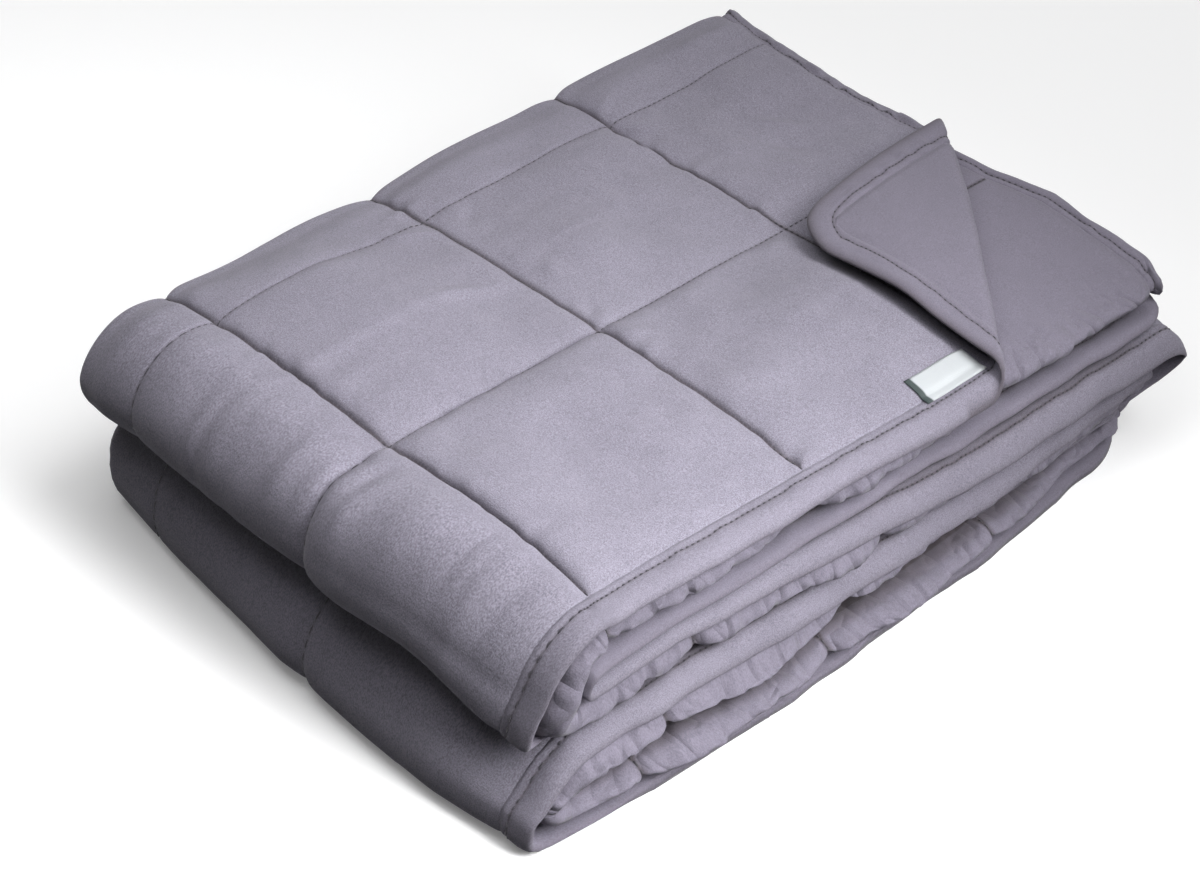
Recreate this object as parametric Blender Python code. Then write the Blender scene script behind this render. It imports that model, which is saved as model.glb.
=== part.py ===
"""A quilted weighted blanket, folded in four across and in four along, with one corner turned back.

The cloth is drawn flat in its own coordinates: u across the width, v along the length and t through it.
Two zigzags fold it, the first across (four sheets), the second along (four legs). The turned-back corner
is rolled over, and the stack is then settled: its noses droop, its side bulges and one corner sags.
Metres, +Z up, +X towards the open ends, the open side at -Y, origin under the middle of the stack.
"""

import math

import bmesh
import bpy
import numpy as np

# Driving sizes.
HEIGHT = 0.110  # the folded stack
LEGS = 4  # the strip of four sheets is folded to four legs
SHEETS = 4  # the width is folded to four sheets
STRIP = HEIGHT / LEGS
PITCH = STRIP / SHEETS  # one layer of quilt and the air beside it
HEM = 0.017  # the sewn-on edge binding
SQUARE = 0.121  # the quilting squares that show
CORNER = 0.035  # outer radius of the rounded corners
APART = 0.0004  # between the panel and what is sewn on
SEAM_HALF = 0.0011  # half the thickness at a seam
CROWN_HALF = 0.0030  # and in the middle of a filled square
CROWN_POWER = 0.6  # how steeply it fills out
HEM_HALF = 0.0017
LOFT = 0.0034  # the top sheet's free face swells this much more
LOFT_POWER = 0.5
CORNER_STEPS = 5
HEM_NOSE = 0.0018  # the rounded outer edge of the binding
# The binding's section: how far in from the edge, and which face.
BINDING_SECTION = ((0.0, 0.0), (HEM_NOSE, 1.0), (HEM, 1.0), (HEM, -1.0), (HEM_NOSE, -1.0))
LABEL = (0.0390, 0.0130, 0.0008)  # the small woven label, bare
LABEL_AT = (0.0135, 0.1470)  # its corner, across and along

# Where each sheet starts and ends across the stack, from the bound edge of the top sheet on.
SHEET_ROWS = (
    # start, end
    (-0.1535, 0.1465),
    (0.1465, -0.1440),
    (-0.1440, 0.1465),
    (0.1465, -0.1535),
)
# Where each leg starts and ends along the stack, from the open end of the top leg on.
LEG_ROWS = (
    # start, end
    (0.2255, -0.1690),
    (-0.1690, 0.1980),
    (0.1980, -0.1700),
    (-0.1700, 0.2090),
)
SQUARES_AT_PITCH = (5, 4)  # the first seams across and along lie a full square apart
SQUARES = (10, 14)
FINE_CUTS = (0.08, 0.35, 0.65, 0.92)  # lines in a square that shows
COARSE_CUTS = (0.5,)  # and in a hidden one
ARC_STEPS = (4, 6)  # lines round a fold across, and along
NEAREST_LINES = 0.0035

# The middle of the folded blanket, as the rows above and below place it, becomes the origin.
MIDDLE = (0.00775, -0.00775)

# How far each near edge reaches past its row, at four places along the stack.
REACH_AT = (-0.20, -0.08, 0.05, 0.20)
REACH_ROWS = {
    # (leg, edge): reach at those places
    (0, "top"): (0.000, 0.004, 0.008, 0.006),
    (0, "fold"): (0.004, 0.006, 0.003, 0.000),
    (0, "end"): (0.000, 0.002, 0.001, 0.001),
    (1, "end"): (0.000, 0.005, 0.014, 0.014),
    (1, "fold"): (0.004, 0.010, 0.008, 0.002),
    (1, "top"): (-0.008, -0.012, -0.012, -0.012),
    (2, "top"): (0.004, 0.010, 0.011, 0.003),
    (2, "fold"): (0.004, 0.014, 0.005, 0.000),
    (2, "end"): (-0.010, -0.012, -0.012, -0.004),
    (3, "end"): (-0.010, -0.012, -0.012, -0.004),
    (3, "fold"): (0.003, 0.008, 0.005, 0.000),
    (3, "top"): (-0.002, -0.003, -0.003, -0.004),
}
REACH_OVER = 0.07  # the cloth takes the reach up over this width
# The lower near side bulges out: how far, along the stack.
BULGE_ROWS = ((-0.21, 0.000), (-0.16, 0.009), (-0.06, 0.014), (0.08, 0.011), (0.16, 0.004), (0.23, -0.006))
# How far each nose is pushed along the stack at its foot, low, middle and top, at four places across.
NOSE_AT = (-1.0, -0.5, 0.0, 1.0)
UPPER_NOSE = (
    # across, foot, low, middle, top
    (-0.155, -0.018, -0.003, 0.007, 0.014),
    (-0.100, -0.017, -0.010, -0.002, 0.006),
    (0.000, -0.014, -0.012, -0.008, -0.002),
    (0.150, -0.006, -0.008, -0.007, 0.000),
)
LOWER_NOSE = (
    # across, foot, low, middle, top
    (-0.155, -0.026, -0.012, -0.004, 0.004),
    (-0.100, -0.028, -0.016, -0.008, 0.002),
    (0.000, -0.026, -0.018, -0.011, 0.000),
    (0.150, -0.010, -0.002, 0.002, 0.002),
)
NOSE_FROM, NOSE_FULL = -0.148, -0.180
NOSES_MEET = (1.8 * STRIP, 2.2 * STRIP)  # between these levels one nose's push gives way to the other's
# The near side slumps: how far, by the height in the stack, and how much of it, along the stack.
SLUMP_ROWS = (
    (0.000, 0.000),
    (0.020, 0.002),
    (0.036, 0.011),
    (0.055, 0.010),
    (0.066, 0.017),
    (0.085, 0.012),
    (0.110, 0.006),
)
SLUMP_AT = ((-0.20, 1.00), (-0.12, 0.55), (0.00, 0.80), (0.10, 1.00), (0.20, 0.42))
# The far side sinks: how far, along the stack.
FAR_ROWS = ((-0.20, 0.007), (-0.03, 0.007), (0.09, 0.000), (0.22, -0.002))
# The open end runs in and out: how far it falls short, by the distance across the cloth.
END_ROWS = (
    (0.00, 0.012),
    (0.15, 0.013),
    (0.21, 0.014),
    (0.26, 0.008),
    (0.31, 0.000),
    (0.40, 0.007),
    (0.46, 0.012),
    (0.50, 0.009),
    (0.53, 0.001),
    (0.60, 0.001),
    (0.75, 0.006),
    (0.90, 0.002),
    (1.05, 0.008),
    (1.21, 0.004),
)
END_OVER = 0.10
SAG = 0.012  # of the top layers at the open corner
# The free near edges hang over the cloth below them, down to this slope in radians.
DROOP_FROM, DROOP_RADIUS, DROOP_MOST = -0.1480, 0.012, 1.1
# Where each of these sets in, and where it is full: across the stack, along it, or up it.
BULGE_ACROSS, BULGE_UP = (0.02, -0.14), (2.0 * STRIP, 0.1 * STRIP)
FAR_ACROSS = (0.09, 0.15)
SLUMP_ACROSS = (-0.080, -0.145)
SAG_ALONG, SAG_ACROSS = (0.09, 0.23), (-0.01, -0.16)
DROOP_UP = (0.6 * STRIP, 1.6 * STRIP)
# The lowest sheet's underside is flat from this far past its leg's fold, and this far short of its own.
PRESS_ALONG, PRESS_ACROSS = (0.005, 0.035), (0.002, 0.014)

# The turned-back corner: its crease runs from the open end to the near edge.
CREASE_END, CREASE_SIDE = (0.1980, -0.0110), (0.0720, -0.1560)
ROLL = 0.0052  # radius of the crease
FLAP_REACH, FLAP_SLIP = 0.92, -0.10  # the corner is drawn in, and slips along the crease
FLAP_ARCH, FLAP_ARCH_OVER = 0.004, 0.09  # it stands up a little on its way to the tip
TURNED_WITHIN = 0.2  # the turned corner lies within this much of both edges
ROLL_STEPS = 7  # lines round the crease
# The top face's swelling fades in over these distances from the turned corner and the first two folds.
LOFT_BY_CORNER, LOFT_BY_SHEET, LOFT_BY_LEG = 0.02, 0.02, 0.04
FINE_PAST = 0.02  # the fine mesh lines go on this far round the first fold
LABEL_CUTS = (3, 6)  # lines across the label, and along it

# Each cloth's colour and roughness.
QUILT_LOOK = ((0.235, 0.225, 0.255, 1.0), 0.90)
BINDING_LOOK = ((0.215, 0.205, 0.235, 1.0), 0.85)
LABEL_LOOK = ((0.85, 0.87, 0.86, 1.0), 0.60)


def clear_scene():
    for old in list(bpy.data.objects):
        bpy.data.objects.remove(old)


def fade(x, start, end):
    """0 at the start and 1 at the end, level at both."""
    x = np.clip((x - start) / (end - start), 0.0, 1.0)
    return x * x * (3.0 - 2.0 * x)


def zigzag(rows, top, step):
    """A folded strip's straights and half-circles, each (kind, start, end, from, side, level), and its length."""
    runs, at = [], 0.0
    for k, (start, end) in enumerate(rows):
        length = abs(end - start)
        side = 1.0 if end > start else -1.0
        runs.append(("straight", at, at + length, start, side, top - k * step))
        at += length
        if k < len(rows) - 1:
            turn = math.pi * step / 2
            runs.append(("turn", at, at + turn, end, side, top - (k + 0.5) * step))
            at += turn
    return runs, at


def follow(runs, step, s):
    """Place along, level, and direction of the folded strip at the distances s."""
    place, level, along, down = (np.zeros_like(s) for _ in range(4))
    for i, (kind, start, end, at, side, height) in enumerate(runs):
        low = -np.inf if i == 0 else start
        high = np.inf if i == len(runs) - 1 else end
        here = (s >= low) & (s < high)
        d = s[here] - start
        if kind == "straight":
            place[here], level[here], along[here] = at + side * d, height, side
        else:
            angle = 2 * d / step
            place[here] = at + side * step / 2 * np.sin(angle)
            level[here] = height + step / 2 * np.cos(angle)
            along[here], down[here] = side * np.cos(angle), -np.sin(angle)
    return place, level, along, down


ACROSS, WIDTH = zigzag(SHEET_ROWS, (SHEETS - 1) / 2 * PITCH, PITCH)
ALONG, LENGTH = zigzag(LEG_ROWS, (LEGS - 0.5) * STRIP, STRIP)


def seams(total, count, at_pitch):
    """Seam places: some a full square apart, the others sharing what is left."""
    first = [HEM + SQUARE * k for k in range(at_pitch + 1)]
    others = np.linspace(first[-1], total - HEM, count - at_pitch + 1)[1:]
    return np.array(first + list(others))


SEAMS_U = seams(WIDTH, SQUARES[0], SQUARES_AT_PITCH[0])
SEAMS_V = seams(LENGTH, SQUARES[1], SQUARES_AT_PITCH[1])


def in_square(s, lines):
    """How far through its square each place is, 0 to 1."""
    k = np.clip(np.searchsorted(lines, s, side="right") - 1, 0, len(lines) - 2)
    return np.clip((s - lines[k]) / (lines[k + 1] - lines[k]), 0.0, 1.0)


def crown(u, v):
    """How full each place is: 0 at the seams and 1 in the middle of a square."""
    full = np.sin(math.pi * in_square(u, SEAMS_U)) * np.sin(math.pi * in_square(v, SEAMS_V))
    return np.clip(full, 0.0, 1.0)


def half_thickness(u, v):
    """Half the quilt's thickness: thin at the seams, full in the squares."""
    return SEAM_HALF + (CROWN_HALF - SEAM_HALF) * crown(u, v) ** CROWN_POWER


def loft(u, v):
    """How far the free upper face of the top leg swells past the rest, none in the turned-back corner."""
    edge, sheet, leg = SQUARE + HEM, ACROSS[1][1], ALONG[1][2]
    corner = fade(u, edge + LOFT_BY_CORNER, edge) * fade(v, edge + LOFT_BY_CORNER, edge)
    top = fade(u, sheet, sheet - LOFT_BY_SHEET) * fade(v, leg, leg - LOFT_BY_LEG)
    return LOFT * crown(u, v) ** LOFT_POWER * top * (1 - corner)


def leg_blend(v):
    """The leg each place is in, as a number that runs smoothly through the folds."""
    leg = np.zeros_like(v)
    for kind, start, end, *_ in ALONG:
        if kind == "turn":
            leg += fade(v, start, end)
    return leg


def reach(u, v, x):
    """How far the near edges are drawn out past their rows."""
    leg = leg_blend(v)
    low = np.clip(np.floor(leg), 0, LEGS - 2).astype(int)
    part = leg - low
    fold = 0.5 * (ACROSS[3][1] + ACROSS[3][2])
    total = np.zeros_like(u)
    pick = np.arange(len(u))
    for edge, distance in (("top", u), ("fold", np.abs(u - fold)), ("end", WIDTH - u)):
        by_leg = np.array([np.interp(x, REACH_AT, REACH_ROWS[k, edge]) for k in range(LEGS)])
        amount = by_leg[low, pick] * (1 - part) + by_leg[low + 1, pick] * part
        total += amount * fade(distance, REACH_OVER, 0.0)
    return total


def stack(u, v, t):
    """The flat cloth, folded both ways."""
    y, n, ty, tn = follow(ACROSS, PITCH, u)
    x, z, tx, tz = follow(ALONG, STRIP, v)
    y, n = y - tn * t, n + ty * t
    x, z = x + tz * n, z - tx * n
    short = np.interp(u, *zip(*END_ROWS)) * fade(v, END_OVER, 0.0)
    return x - short, y - reach(u, v, x), z


def turn_corner(x, y, z, u, v, t):
    """Rolls what lies beyond the crease over onto the top sheet."""
    end, side = np.array(CREASE_END), np.array(CREASE_SIDE)
    line = (side - end) / np.linalg.norm(side - end)
    out = np.array((-line[1], line[0]))
    along = (x - end[0]) * line[0] + (y - end[1]) * line[1]
    beyond = (x - end[0]) * out[0] + (y - end[1]) * out[1]
    turned = (u < TURNED_WITHIN) & (v < TURNED_WITHIN) & (beyond > 0)
    angle = np.minimum(beyond / ROLL, math.pi)
    past = np.maximum(beyond - math.pi * ROLL, 0.0)
    arch = FLAP_ARCH * np.sin(math.pi * np.clip(past / FLAP_ARCH_OVER, 0, 1))
    back = (ROLL - t) * np.sin(angle) - past * FLAP_REACH
    up = ROLL - (ROLL - t) * np.cos(angle) + arch
    slid = along + past * FLAP_SLIP
    x = np.where(turned, end[0] + slid * line[0] + back * out[0], x)
    y = np.where(turned, end[1] + slid * line[1] + back * out[1], y)
    z = np.where(turned, HEIGHT - PITCH / 2 + up, z)
    return x, y, z


def nose(y, z, rows, centre):
    """How far a nose's cloth is pushed along the stack."""
    across, *columns = zip(*rows)
    rise = np.clip((z - centre) / STRIP, -1.0, 1.0)
    pushes = np.array([np.interp(y, across, column) for column in columns])
    low = np.clip(np.searchsorted(NOSE_AT, rise, side="right") - 1, 0, len(NOSE_AT) - 2)
    at, pick = np.array(NOSE_AT), np.arange(len(y))
    part = (rise - at[low]) / (at[low + 1] - at[low])
    return pushes[low, pick] * (1 - part) + pushes[low + 1, pick] * part


def settle(x, y, z):
    """The stack as it lies."""
    full = fade(x, NOSE_FROM, NOSE_FULL)
    upper = fade(z, *NOSES_MEET)
    dx = nose(y, z, UPPER_NOSE, 3 * STRIP) * upper + nose(y, z, LOWER_NOSE, STRIP) * (1 - upper)
    # The free near edges hang over the cloth below them.
    over = np.maximum(DROOP_FROM - y, 0.0)
    angle = np.minimum(over / DROOP_RADIUS, DROOP_MOST)
    straight = over - angle * DROOP_RADIUS
    hang = DROOP_RADIUS * (1 - np.cos(angle)) + straight * np.sin(angle)
    out = DROOP_RADIUS * np.sin(angle) + straight * np.cos(angle)
    held = fade(z, *DROOP_UP)
    dz = -hang * held
    y = np.where(over > 0, DROOP_FROM - out * held - over * (1 - held), y)
    # The lower layers bulge towards the near side.
    dy = -np.interp(x, *zip(*BULGE_ROWS)) * fade(z, *BULGE_UP) * fade(y, *BULGE_ACROSS)
    # The far side sinks, the near side slumps, and the top layers sag at the open corner.
    rise = fade(z, 0.0, HEIGHT)
    dz -= np.interp(x, *zip(*FAR_ROWS)) * fade(y, *FAR_ACROSS) * rise
    dz -= np.interp(x, *zip(*SLUMP_AT)) * fade(y, *SLUMP_ACROSS) * np.interp(z, *zip(*SLUMP_ROWS))
    dz -= SAG * fade(x, *SAG_ALONG) * fade(y, *SAG_ACROSS) * rise
    return x + dx * full, y + dy, z + dz


def press(z, u, v, t):
    """The underside of the lowest sheet, pressed flat on what the blanket lies on."""
    leg, sheet = ALONG[-1][1], ACROSS[0][2]
    along = fade(v - leg, *PRESS_ALONG)
    across = fade(sheet - u, *PRESS_ACROSS)
    return np.where(t > 0, z * (1 - along * across), z)


def lay(points):
    """Flat points (u, v, t) to the folded, settled place of each."""
    u, v, t = points.T
    x, y, z = stack(u, v, t)
    x, y, z = turn_corner(x, y, z, u, v, t)
    x, y, z = settle(x, y, z)
    return np.stack((x - MIDDLE[0], y - MIDDLE[1], press(z, u, v, t)), axis=1)


def rounded(u, v, radius):
    """Turns the square corners of a grid into quarter circles about the corners' common centre."""
    u, v = u.copy(), v.copy()
    for far_u in (False, True):
        for far_v in (False, True):
            a = (CORNER - (WIDTH - u if far_u else u)) / radius
            b = (CORNER - (LENGTH - v if far_v else v)) / radius
            here = (a > 0) & (b > 0)
            ra = radius * a * np.sqrt(np.maximum(1 - b * b / 2, 0))
            rb = radius * b * np.sqrt(np.maximum(1 - a * a / 2, 0))
            u = np.where(here, WIDTH - CORNER + ra if far_u else CORNER - ra, u)
            v = np.where(here, LENGTH - CORNER + rb if far_v else CORNER - rb, v)
    return u, v


def grid_lines(lines, runs, steps, fine_until, start, end):
    """Places of the mesh lines: folds first, then seams, then lines inside the squares."""
    folds = [np.linspace(a, b, steps + 1) for kind, a, b, *_ in runs if kind == "turn"]
    wanted = [start, end, *np.concatenate(folds), *lines[1:-1]]
    for a, b in zip(lines[:-1], lines[1:]):
        cuts = FINE_CUTS if b < fine_until else COARSE_CUTS
        wanted += [a + (b - a) * cut for cut in cuts]
    chosen = list(wanted[: 2 + sum(len(fold) for fold in folds)])
    for place in wanted[len(chosen) :]:
        if start < place < end and min(abs(place - other) for other in chosen) > NEAREST_LINES:
            chosen.append(place)
    return np.array(sorted(chosen))


def slab(us, vs):
    """A closed slab over the grid, in flat coordinates, with t at -1 and +1."""
    mesh = bmesh.new()
    layers = []
    for t in (-1.0, 1.0):
        layers.append([[mesh.verts.new((u, v, t)) for v in vs] for u in us])
    low, high = layers
    for i in range(len(us) - 1):
        for j in range(len(vs) - 1):
            mesh.faces.new((high[i][j], high[i + 1][j], high[i + 1][j + 1], high[i][j + 1]))
            mesh.faces.new((low[i][j], low[i][j + 1], low[i + 1][j + 1], low[i + 1][j]))
    last_u, last_v = len(us) - 1, len(vs) - 1
    rim = [(i, 0) for i in range(last_u)]
    rim += [(last_u, j) for j in range(last_v)]
    rim += [(i, last_v) for i in range(last_u, 0, -1)]
    rim += [(0, j) for j in range(last_v, 0, -1)]
    for (a, b), (c, d) in zip(rim, rim[1:] + rim[:1]):
        mesh.faces.new((low[a][b], low[c][d], high[c][d], high[a][b]))
    return mesh


def score(mesh):
    """Cuts the flat cloth along the crease of the turned corner, so that it can roll there."""
    end, side = np.array(CREASE_END), np.array(CREASE_SIDE)
    # On the top sheet u and v run from the near edge and from the open end.
    first = np.array((end[1] - SHEET_ROWS[0][0], LEG_ROWS[0][0] - end[0]))
    last = np.array((side[1] - SHEET_ROWS[0][0], LEG_ROWS[0][0] - side[0]))
    line = (last - first) / np.linalg.norm(last - first)
    out = np.array((line[1], -line[0]))
    if out @ (-first) < 0:
        out = -out
    for turn in np.linspace(0.0, math.pi, ROLL_STEPS + 1):
        origin = first + out * ROLL * turn
        near = [f for f in mesh.faces if max(f.calc_center_median()[:2]) < TURNED_WITHIN]
        parts = near + list({e for f in near for e in f.edges}) + list({p for f in near for p in f.verts})
        bmesh.ops.bisect_plane(mesh, geom=parts, plane_co=(*origin, 0), plane_no=(*out, 0))


def edge_path(us, vs):
    """Stations round the cloth's edge: (u, v) of a point on it and the inward direction there."""
    inner_u = us[(us > CORNER + NEAREST_LINES) & (us < WIDTH - CORNER - NEAREST_LINES)]
    inner_v = vs[(vs > CORNER + NEAREST_LINES) & (vs < LENGTH - CORNER - NEAREST_LINES)]
    path = []

    def corner(u, v, first):
        for k in range(CORNER_STEPS + 1):
            angle = first + math.pi / 2 * k / CORNER_STEPS
            out = np.array((math.cos(angle), math.sin(angle)))
            path.append((np.array((u, v)) + CORNER * out, -out))

    corner(WIDTH - CORNER, CORNER, -math.pi / 2)
    path.extend((np.array((WIDTH, v)), np.array((-1.0, 0.0))) for v in inner_v)
    corner(WIDTH - CORNER, LENGTH - CORNER, 0.0)
    path.extend((np.array((u, LENGTH)), np.array((0.0, -1.0))) for u in inner_u[::-1])
    corner(CORNER, LENGTH - CORNER, math.pi / 2)
    path.extend((np.array((0.0, v)), np.array((1.0, 0.0))) for v in inner_v[::-1])
    corner(CORNER, CORNER, math.pi)
    path.extend((np.array((u, 0.0)), np.array((0.0, 1.0))) for u in inner_u)
    return path


def binding(us, vs):
    """The strip of cloth sewn over the whole edge, one closed loop."""
    mesh = bmesh.new()
    rings = []
    for at, inward in edge_path(us, vs):
        rings.append([mesh.verts.new((*(at + inward * inset), t)) for inset, t in BINDING_SECTION])
    for ring, after in zip(rings, rings[1:] + rings[:1]):
        for k in range(len(ring)):
            j = (k + 1) % len(ring)
            mesh.faces.new((ring[k], ring[j], after[j], after[k]))
    score(mesh)
    place(mesh, lambda u, v: np.full_like(u, HEM_HALF))
    return finish(mesh, "edge_binding", *BINDING_LOOK)


def label():
    """The small woven label that lies along the edge's seam, beside the turned-back corner."""
    length, width, thickness = LABEL
    us = np.linspace(LABEL_AT[0], LABEL_AT[0] + width, LABEL_CUTS[0])
    vs = np.linspace(LABEL_AT[1], LABEL_AT[1] + length, LABEL_CUTS[1])
    mesh = slab(us, vs)
    flat = np.array([p.co[:] for p in mesh.verts])
    u, v, side = flat.T
    below = np.maximum(HEM_HALF, half_thickness(u, v) + loft(u, v))
    flat[:, 2] = below + APART + np.where(side > 0, thickness, 0.0)
    for vert, co in zip(mesh.verts, lay(flat)):
        vert.co = co
    return finish(mesh, "label", *LABEL_LOOK)


def finish(mesh, name, colour, roughness):
    bmesh.ops.recalc_face_normals(mesh, faces=mesh.faces)
    bmesh.ops.triangulate(mesh, faces=mesh.faces)
    data = bpy.data.meshes.new(name)
    mesh.to_mesh(data)
    mesh.free()
    if signed_volume(data) < 0:
        data.flip_normals()
    data.shade_smooth()
    material = bpy.data.materials.new(name + "_cloth")
    material.use_nodes = True
    shader = material.node_tree.nodes["Principled BSDF"]
    shader.inputs["Base Color"].default_value = colour
    shader.inputs["Roughness"].default_value = roughness
    data.materials.append(material)
    made = bpy.data.objects.new(name, data)
    bpy.context.scene.collection.objects.link(made)
    return made


def signed_volume(data):
    """Six times the volume the triangles hold."""
    corners = ([data.vertices[k].co for k in face.vertices] for face in data.polygons)
    return sum(a.dot(b.cross(c)) for a, b, c in corners)


def place(mesh, thickness, swell=None):
    """Moves each flat vertex to its place in the folded stack."""
    flat = np.array([p.co[:] for p in mesh.verts])
    u, v, t = flat.T
    flat[:, 2] = t * thickness(u, v) + (np.where(t > 0, swell(u, v), 0.0) if swell else 0.0)
    for vert, co in zip(mesh.verts, lay(flat)):
        vert.co = co


def quilt(us, vs):
    """The filled, quilted panel: one closed solid through all its folds."""
    edge = HEM + APART
    mesh = slab(us, vs)
    flat = np.array([p.co[:] for p in mesh.verts])
    u, v = rounded(flat[:, 0], flat[:, 1], CORNER - edge)
    for vert, a, b in zip(mesh.verts, u, v):
        vert.co.x, vert.co.y = a, b
    score(mesh)
    place(mesh, half_thickness, loft)
    return finish(mesh, "quilt", *QUILT_LOOK)


def main():
    clear_scene()
    edge = HEM + APART
    us = grid_lines(SEAMS_U, ACROSS, ARC_STEPS[0], ACROSS[0][2] + FINE_PAST, edge, WIDTH - edge)
    vs = grid_lines(SEAMS_V, ALONG, ARC_STEPS[1], ALONG[0][2], edge, LENGTH - edge)
    quilt(us, vs)
    binding(us, vs)
    label()


main()
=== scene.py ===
"""A folded, quilted weighted blanket with one corner turned back: the visual model.

Every piece is drawn on the flat cloth first, with u across its width, v along its length and t through it.
One folding then carries all of them into the stack. Metres, +Z up, +X towards the open ends, the bound edges
of the near side towards -Y, and the origin under the middle of the stack.
"""

import logging
import math
from dataclasses import dataclass, field
from enum import Enum
from typing import Any, Callable, Iterable, Sequence, Union

import bmesh
import bpy
import numpy as np
from mathutils import Matrix, Vector

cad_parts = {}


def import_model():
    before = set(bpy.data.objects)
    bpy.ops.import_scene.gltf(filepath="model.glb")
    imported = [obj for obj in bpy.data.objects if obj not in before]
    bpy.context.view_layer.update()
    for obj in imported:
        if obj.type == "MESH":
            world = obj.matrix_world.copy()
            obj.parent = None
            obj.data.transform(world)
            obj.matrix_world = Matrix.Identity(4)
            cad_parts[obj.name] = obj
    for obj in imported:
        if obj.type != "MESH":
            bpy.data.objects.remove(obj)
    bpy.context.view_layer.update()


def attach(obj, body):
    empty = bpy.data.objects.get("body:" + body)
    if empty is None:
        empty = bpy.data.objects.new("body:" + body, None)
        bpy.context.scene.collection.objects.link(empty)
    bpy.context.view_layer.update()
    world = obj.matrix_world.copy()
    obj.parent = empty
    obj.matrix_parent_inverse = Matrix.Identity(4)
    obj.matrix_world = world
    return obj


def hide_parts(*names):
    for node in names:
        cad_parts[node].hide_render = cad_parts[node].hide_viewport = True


log = logging.getLogger("blanket")

Array = np.ndarray
Colour = tuple[float, float, float, float]
Place = tuple[float, float, float]
Rows = tuple[tuple[float, ...], ...]
Level = Callable[[Array, Array, Array], Array]


class Face(Enum):
    """The two faces of the cloth, as the side of its middle that each is on."""

    OUTER = 1.0
    INNER = -1.0


class Run(Enum):
    """The two kinds of run in a folded strip."""

    STRAIGHT = "straight"
    TURN = "turn"


class Lamp(Enum):
    """The two kinds of light: far off and even, or a near soft box."""

    FAR = "SUN"
    NEAR = "AREA"


# ------------------------------------------------------------ numbers


def smooth(x: Array) -> Array:
    """Rises from 0 at 0 to 1 at 1, with level ends."""
    x = np.clip(x, 0.0, 1.0)
    return x * x * (3.0 - 2.0 * x)


def fade(distance: Array, over: float) -> Array:
    """1 at no distance, falling smoothly to 0 at this one."""
    return 1 - smooth(distance / over)


def bell(x: Array, width: float) -> Array:
    """A bump that is 1 at 0, and has fallen to about a third at the width."""
    return np.exp(-((x / width) ** 2))


def table(rows: Rows, x: Array) -> Array:
    """The value at x in a table of places and values, on straight lines between its rows."""
    return np.interp(x, *zip(*rows))


def blend(rows: Array, at: Array) -> Array:
    """Passes from row to row of a table, each column at its own place.

    Args:
        rows: the values, with one column for each place.
        at: where each place is: 0 in the first row, 1 in the second.

    Returns:
        One value for each place.
    """
    low = np.clip(np.floor(at), 0, len(rows) - 2).astype(int)
    part, column = at - low, np.arange(len(at))
    return rows[low, column] * (1 - part) + rows[low + 1, column] * part


@dataclass(frozen=True)
class Rise:
    """A smooth step from 0 to 1: where it starts, and how far it takes, negative if it rises backwards."""

    start: float
    over: float

    def at(self, x: Array, unit: float = 1.0) -> Array:
        """The step at x, with its start and its length in this unit."""
        return smooth((x - self.start * unit) / (self.over * unit))


class Ripples:
    """Smooth random waves over the flat cloth, the same ones each run."""

    CELLS = 64

    def __init__(self, seed: int, across: float, along: float) -> None:
        """Makes the lattice of values.

        Args:
            seed: picks the waves.
            across: the waves' size along u, in metres.
            along: their size along v.
        """
        self.step = (across, along)
        self.values = np.random.default_rng(seed).uniform(-1.0, 1.0, (self.CELLS, self.CELLS))

    def at(self, u: Array, v: Array) -> Array:
        """The waves' height, from -1 to 1.

        Args:
            u: places across the cloth.
            v: places along it.

        Returns:
            One height for each place.
        """
        a, b = u / self.step[0], v / self.step[1]
        i, j = np.floor(a).astype(int), np.floor(b).astype(int)
        f, g = smooth(a - i), smooth(b - j)

        def row(n: Array) -> Array:
            """The waves along one row of the lattice."""
            first, second = (self.values[m % self.CELLS, n % self.CELLS] for m in (i, i + 1))
            return first * (1 - f) + second * f

        return row(j) * (1 - g) + row(j + 1) * g

    def creases(self, u: Array, v: Array, width: float) -> Array:
        """Sharp lines where the waves cross zero: 1 on a line, 0 where they are higher than the width."""
        return np.maximum(1 - np.abs(self.at(u, v)) / width, 0.0)


# ------------------------------------------------------------ folding


@dataclass(frozen=True)
class Stretch:
    """One straight or half-circle of a folded strip: its kind, its ends on the strip, and where it lies."""

    kind: Run
    start: float
    end: float
    place: float
    side: float
    level: float

    @property
    def middle(self) -> float:
        """Halfway along it."""
        return 0.5 * (self.start + self.end)


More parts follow.
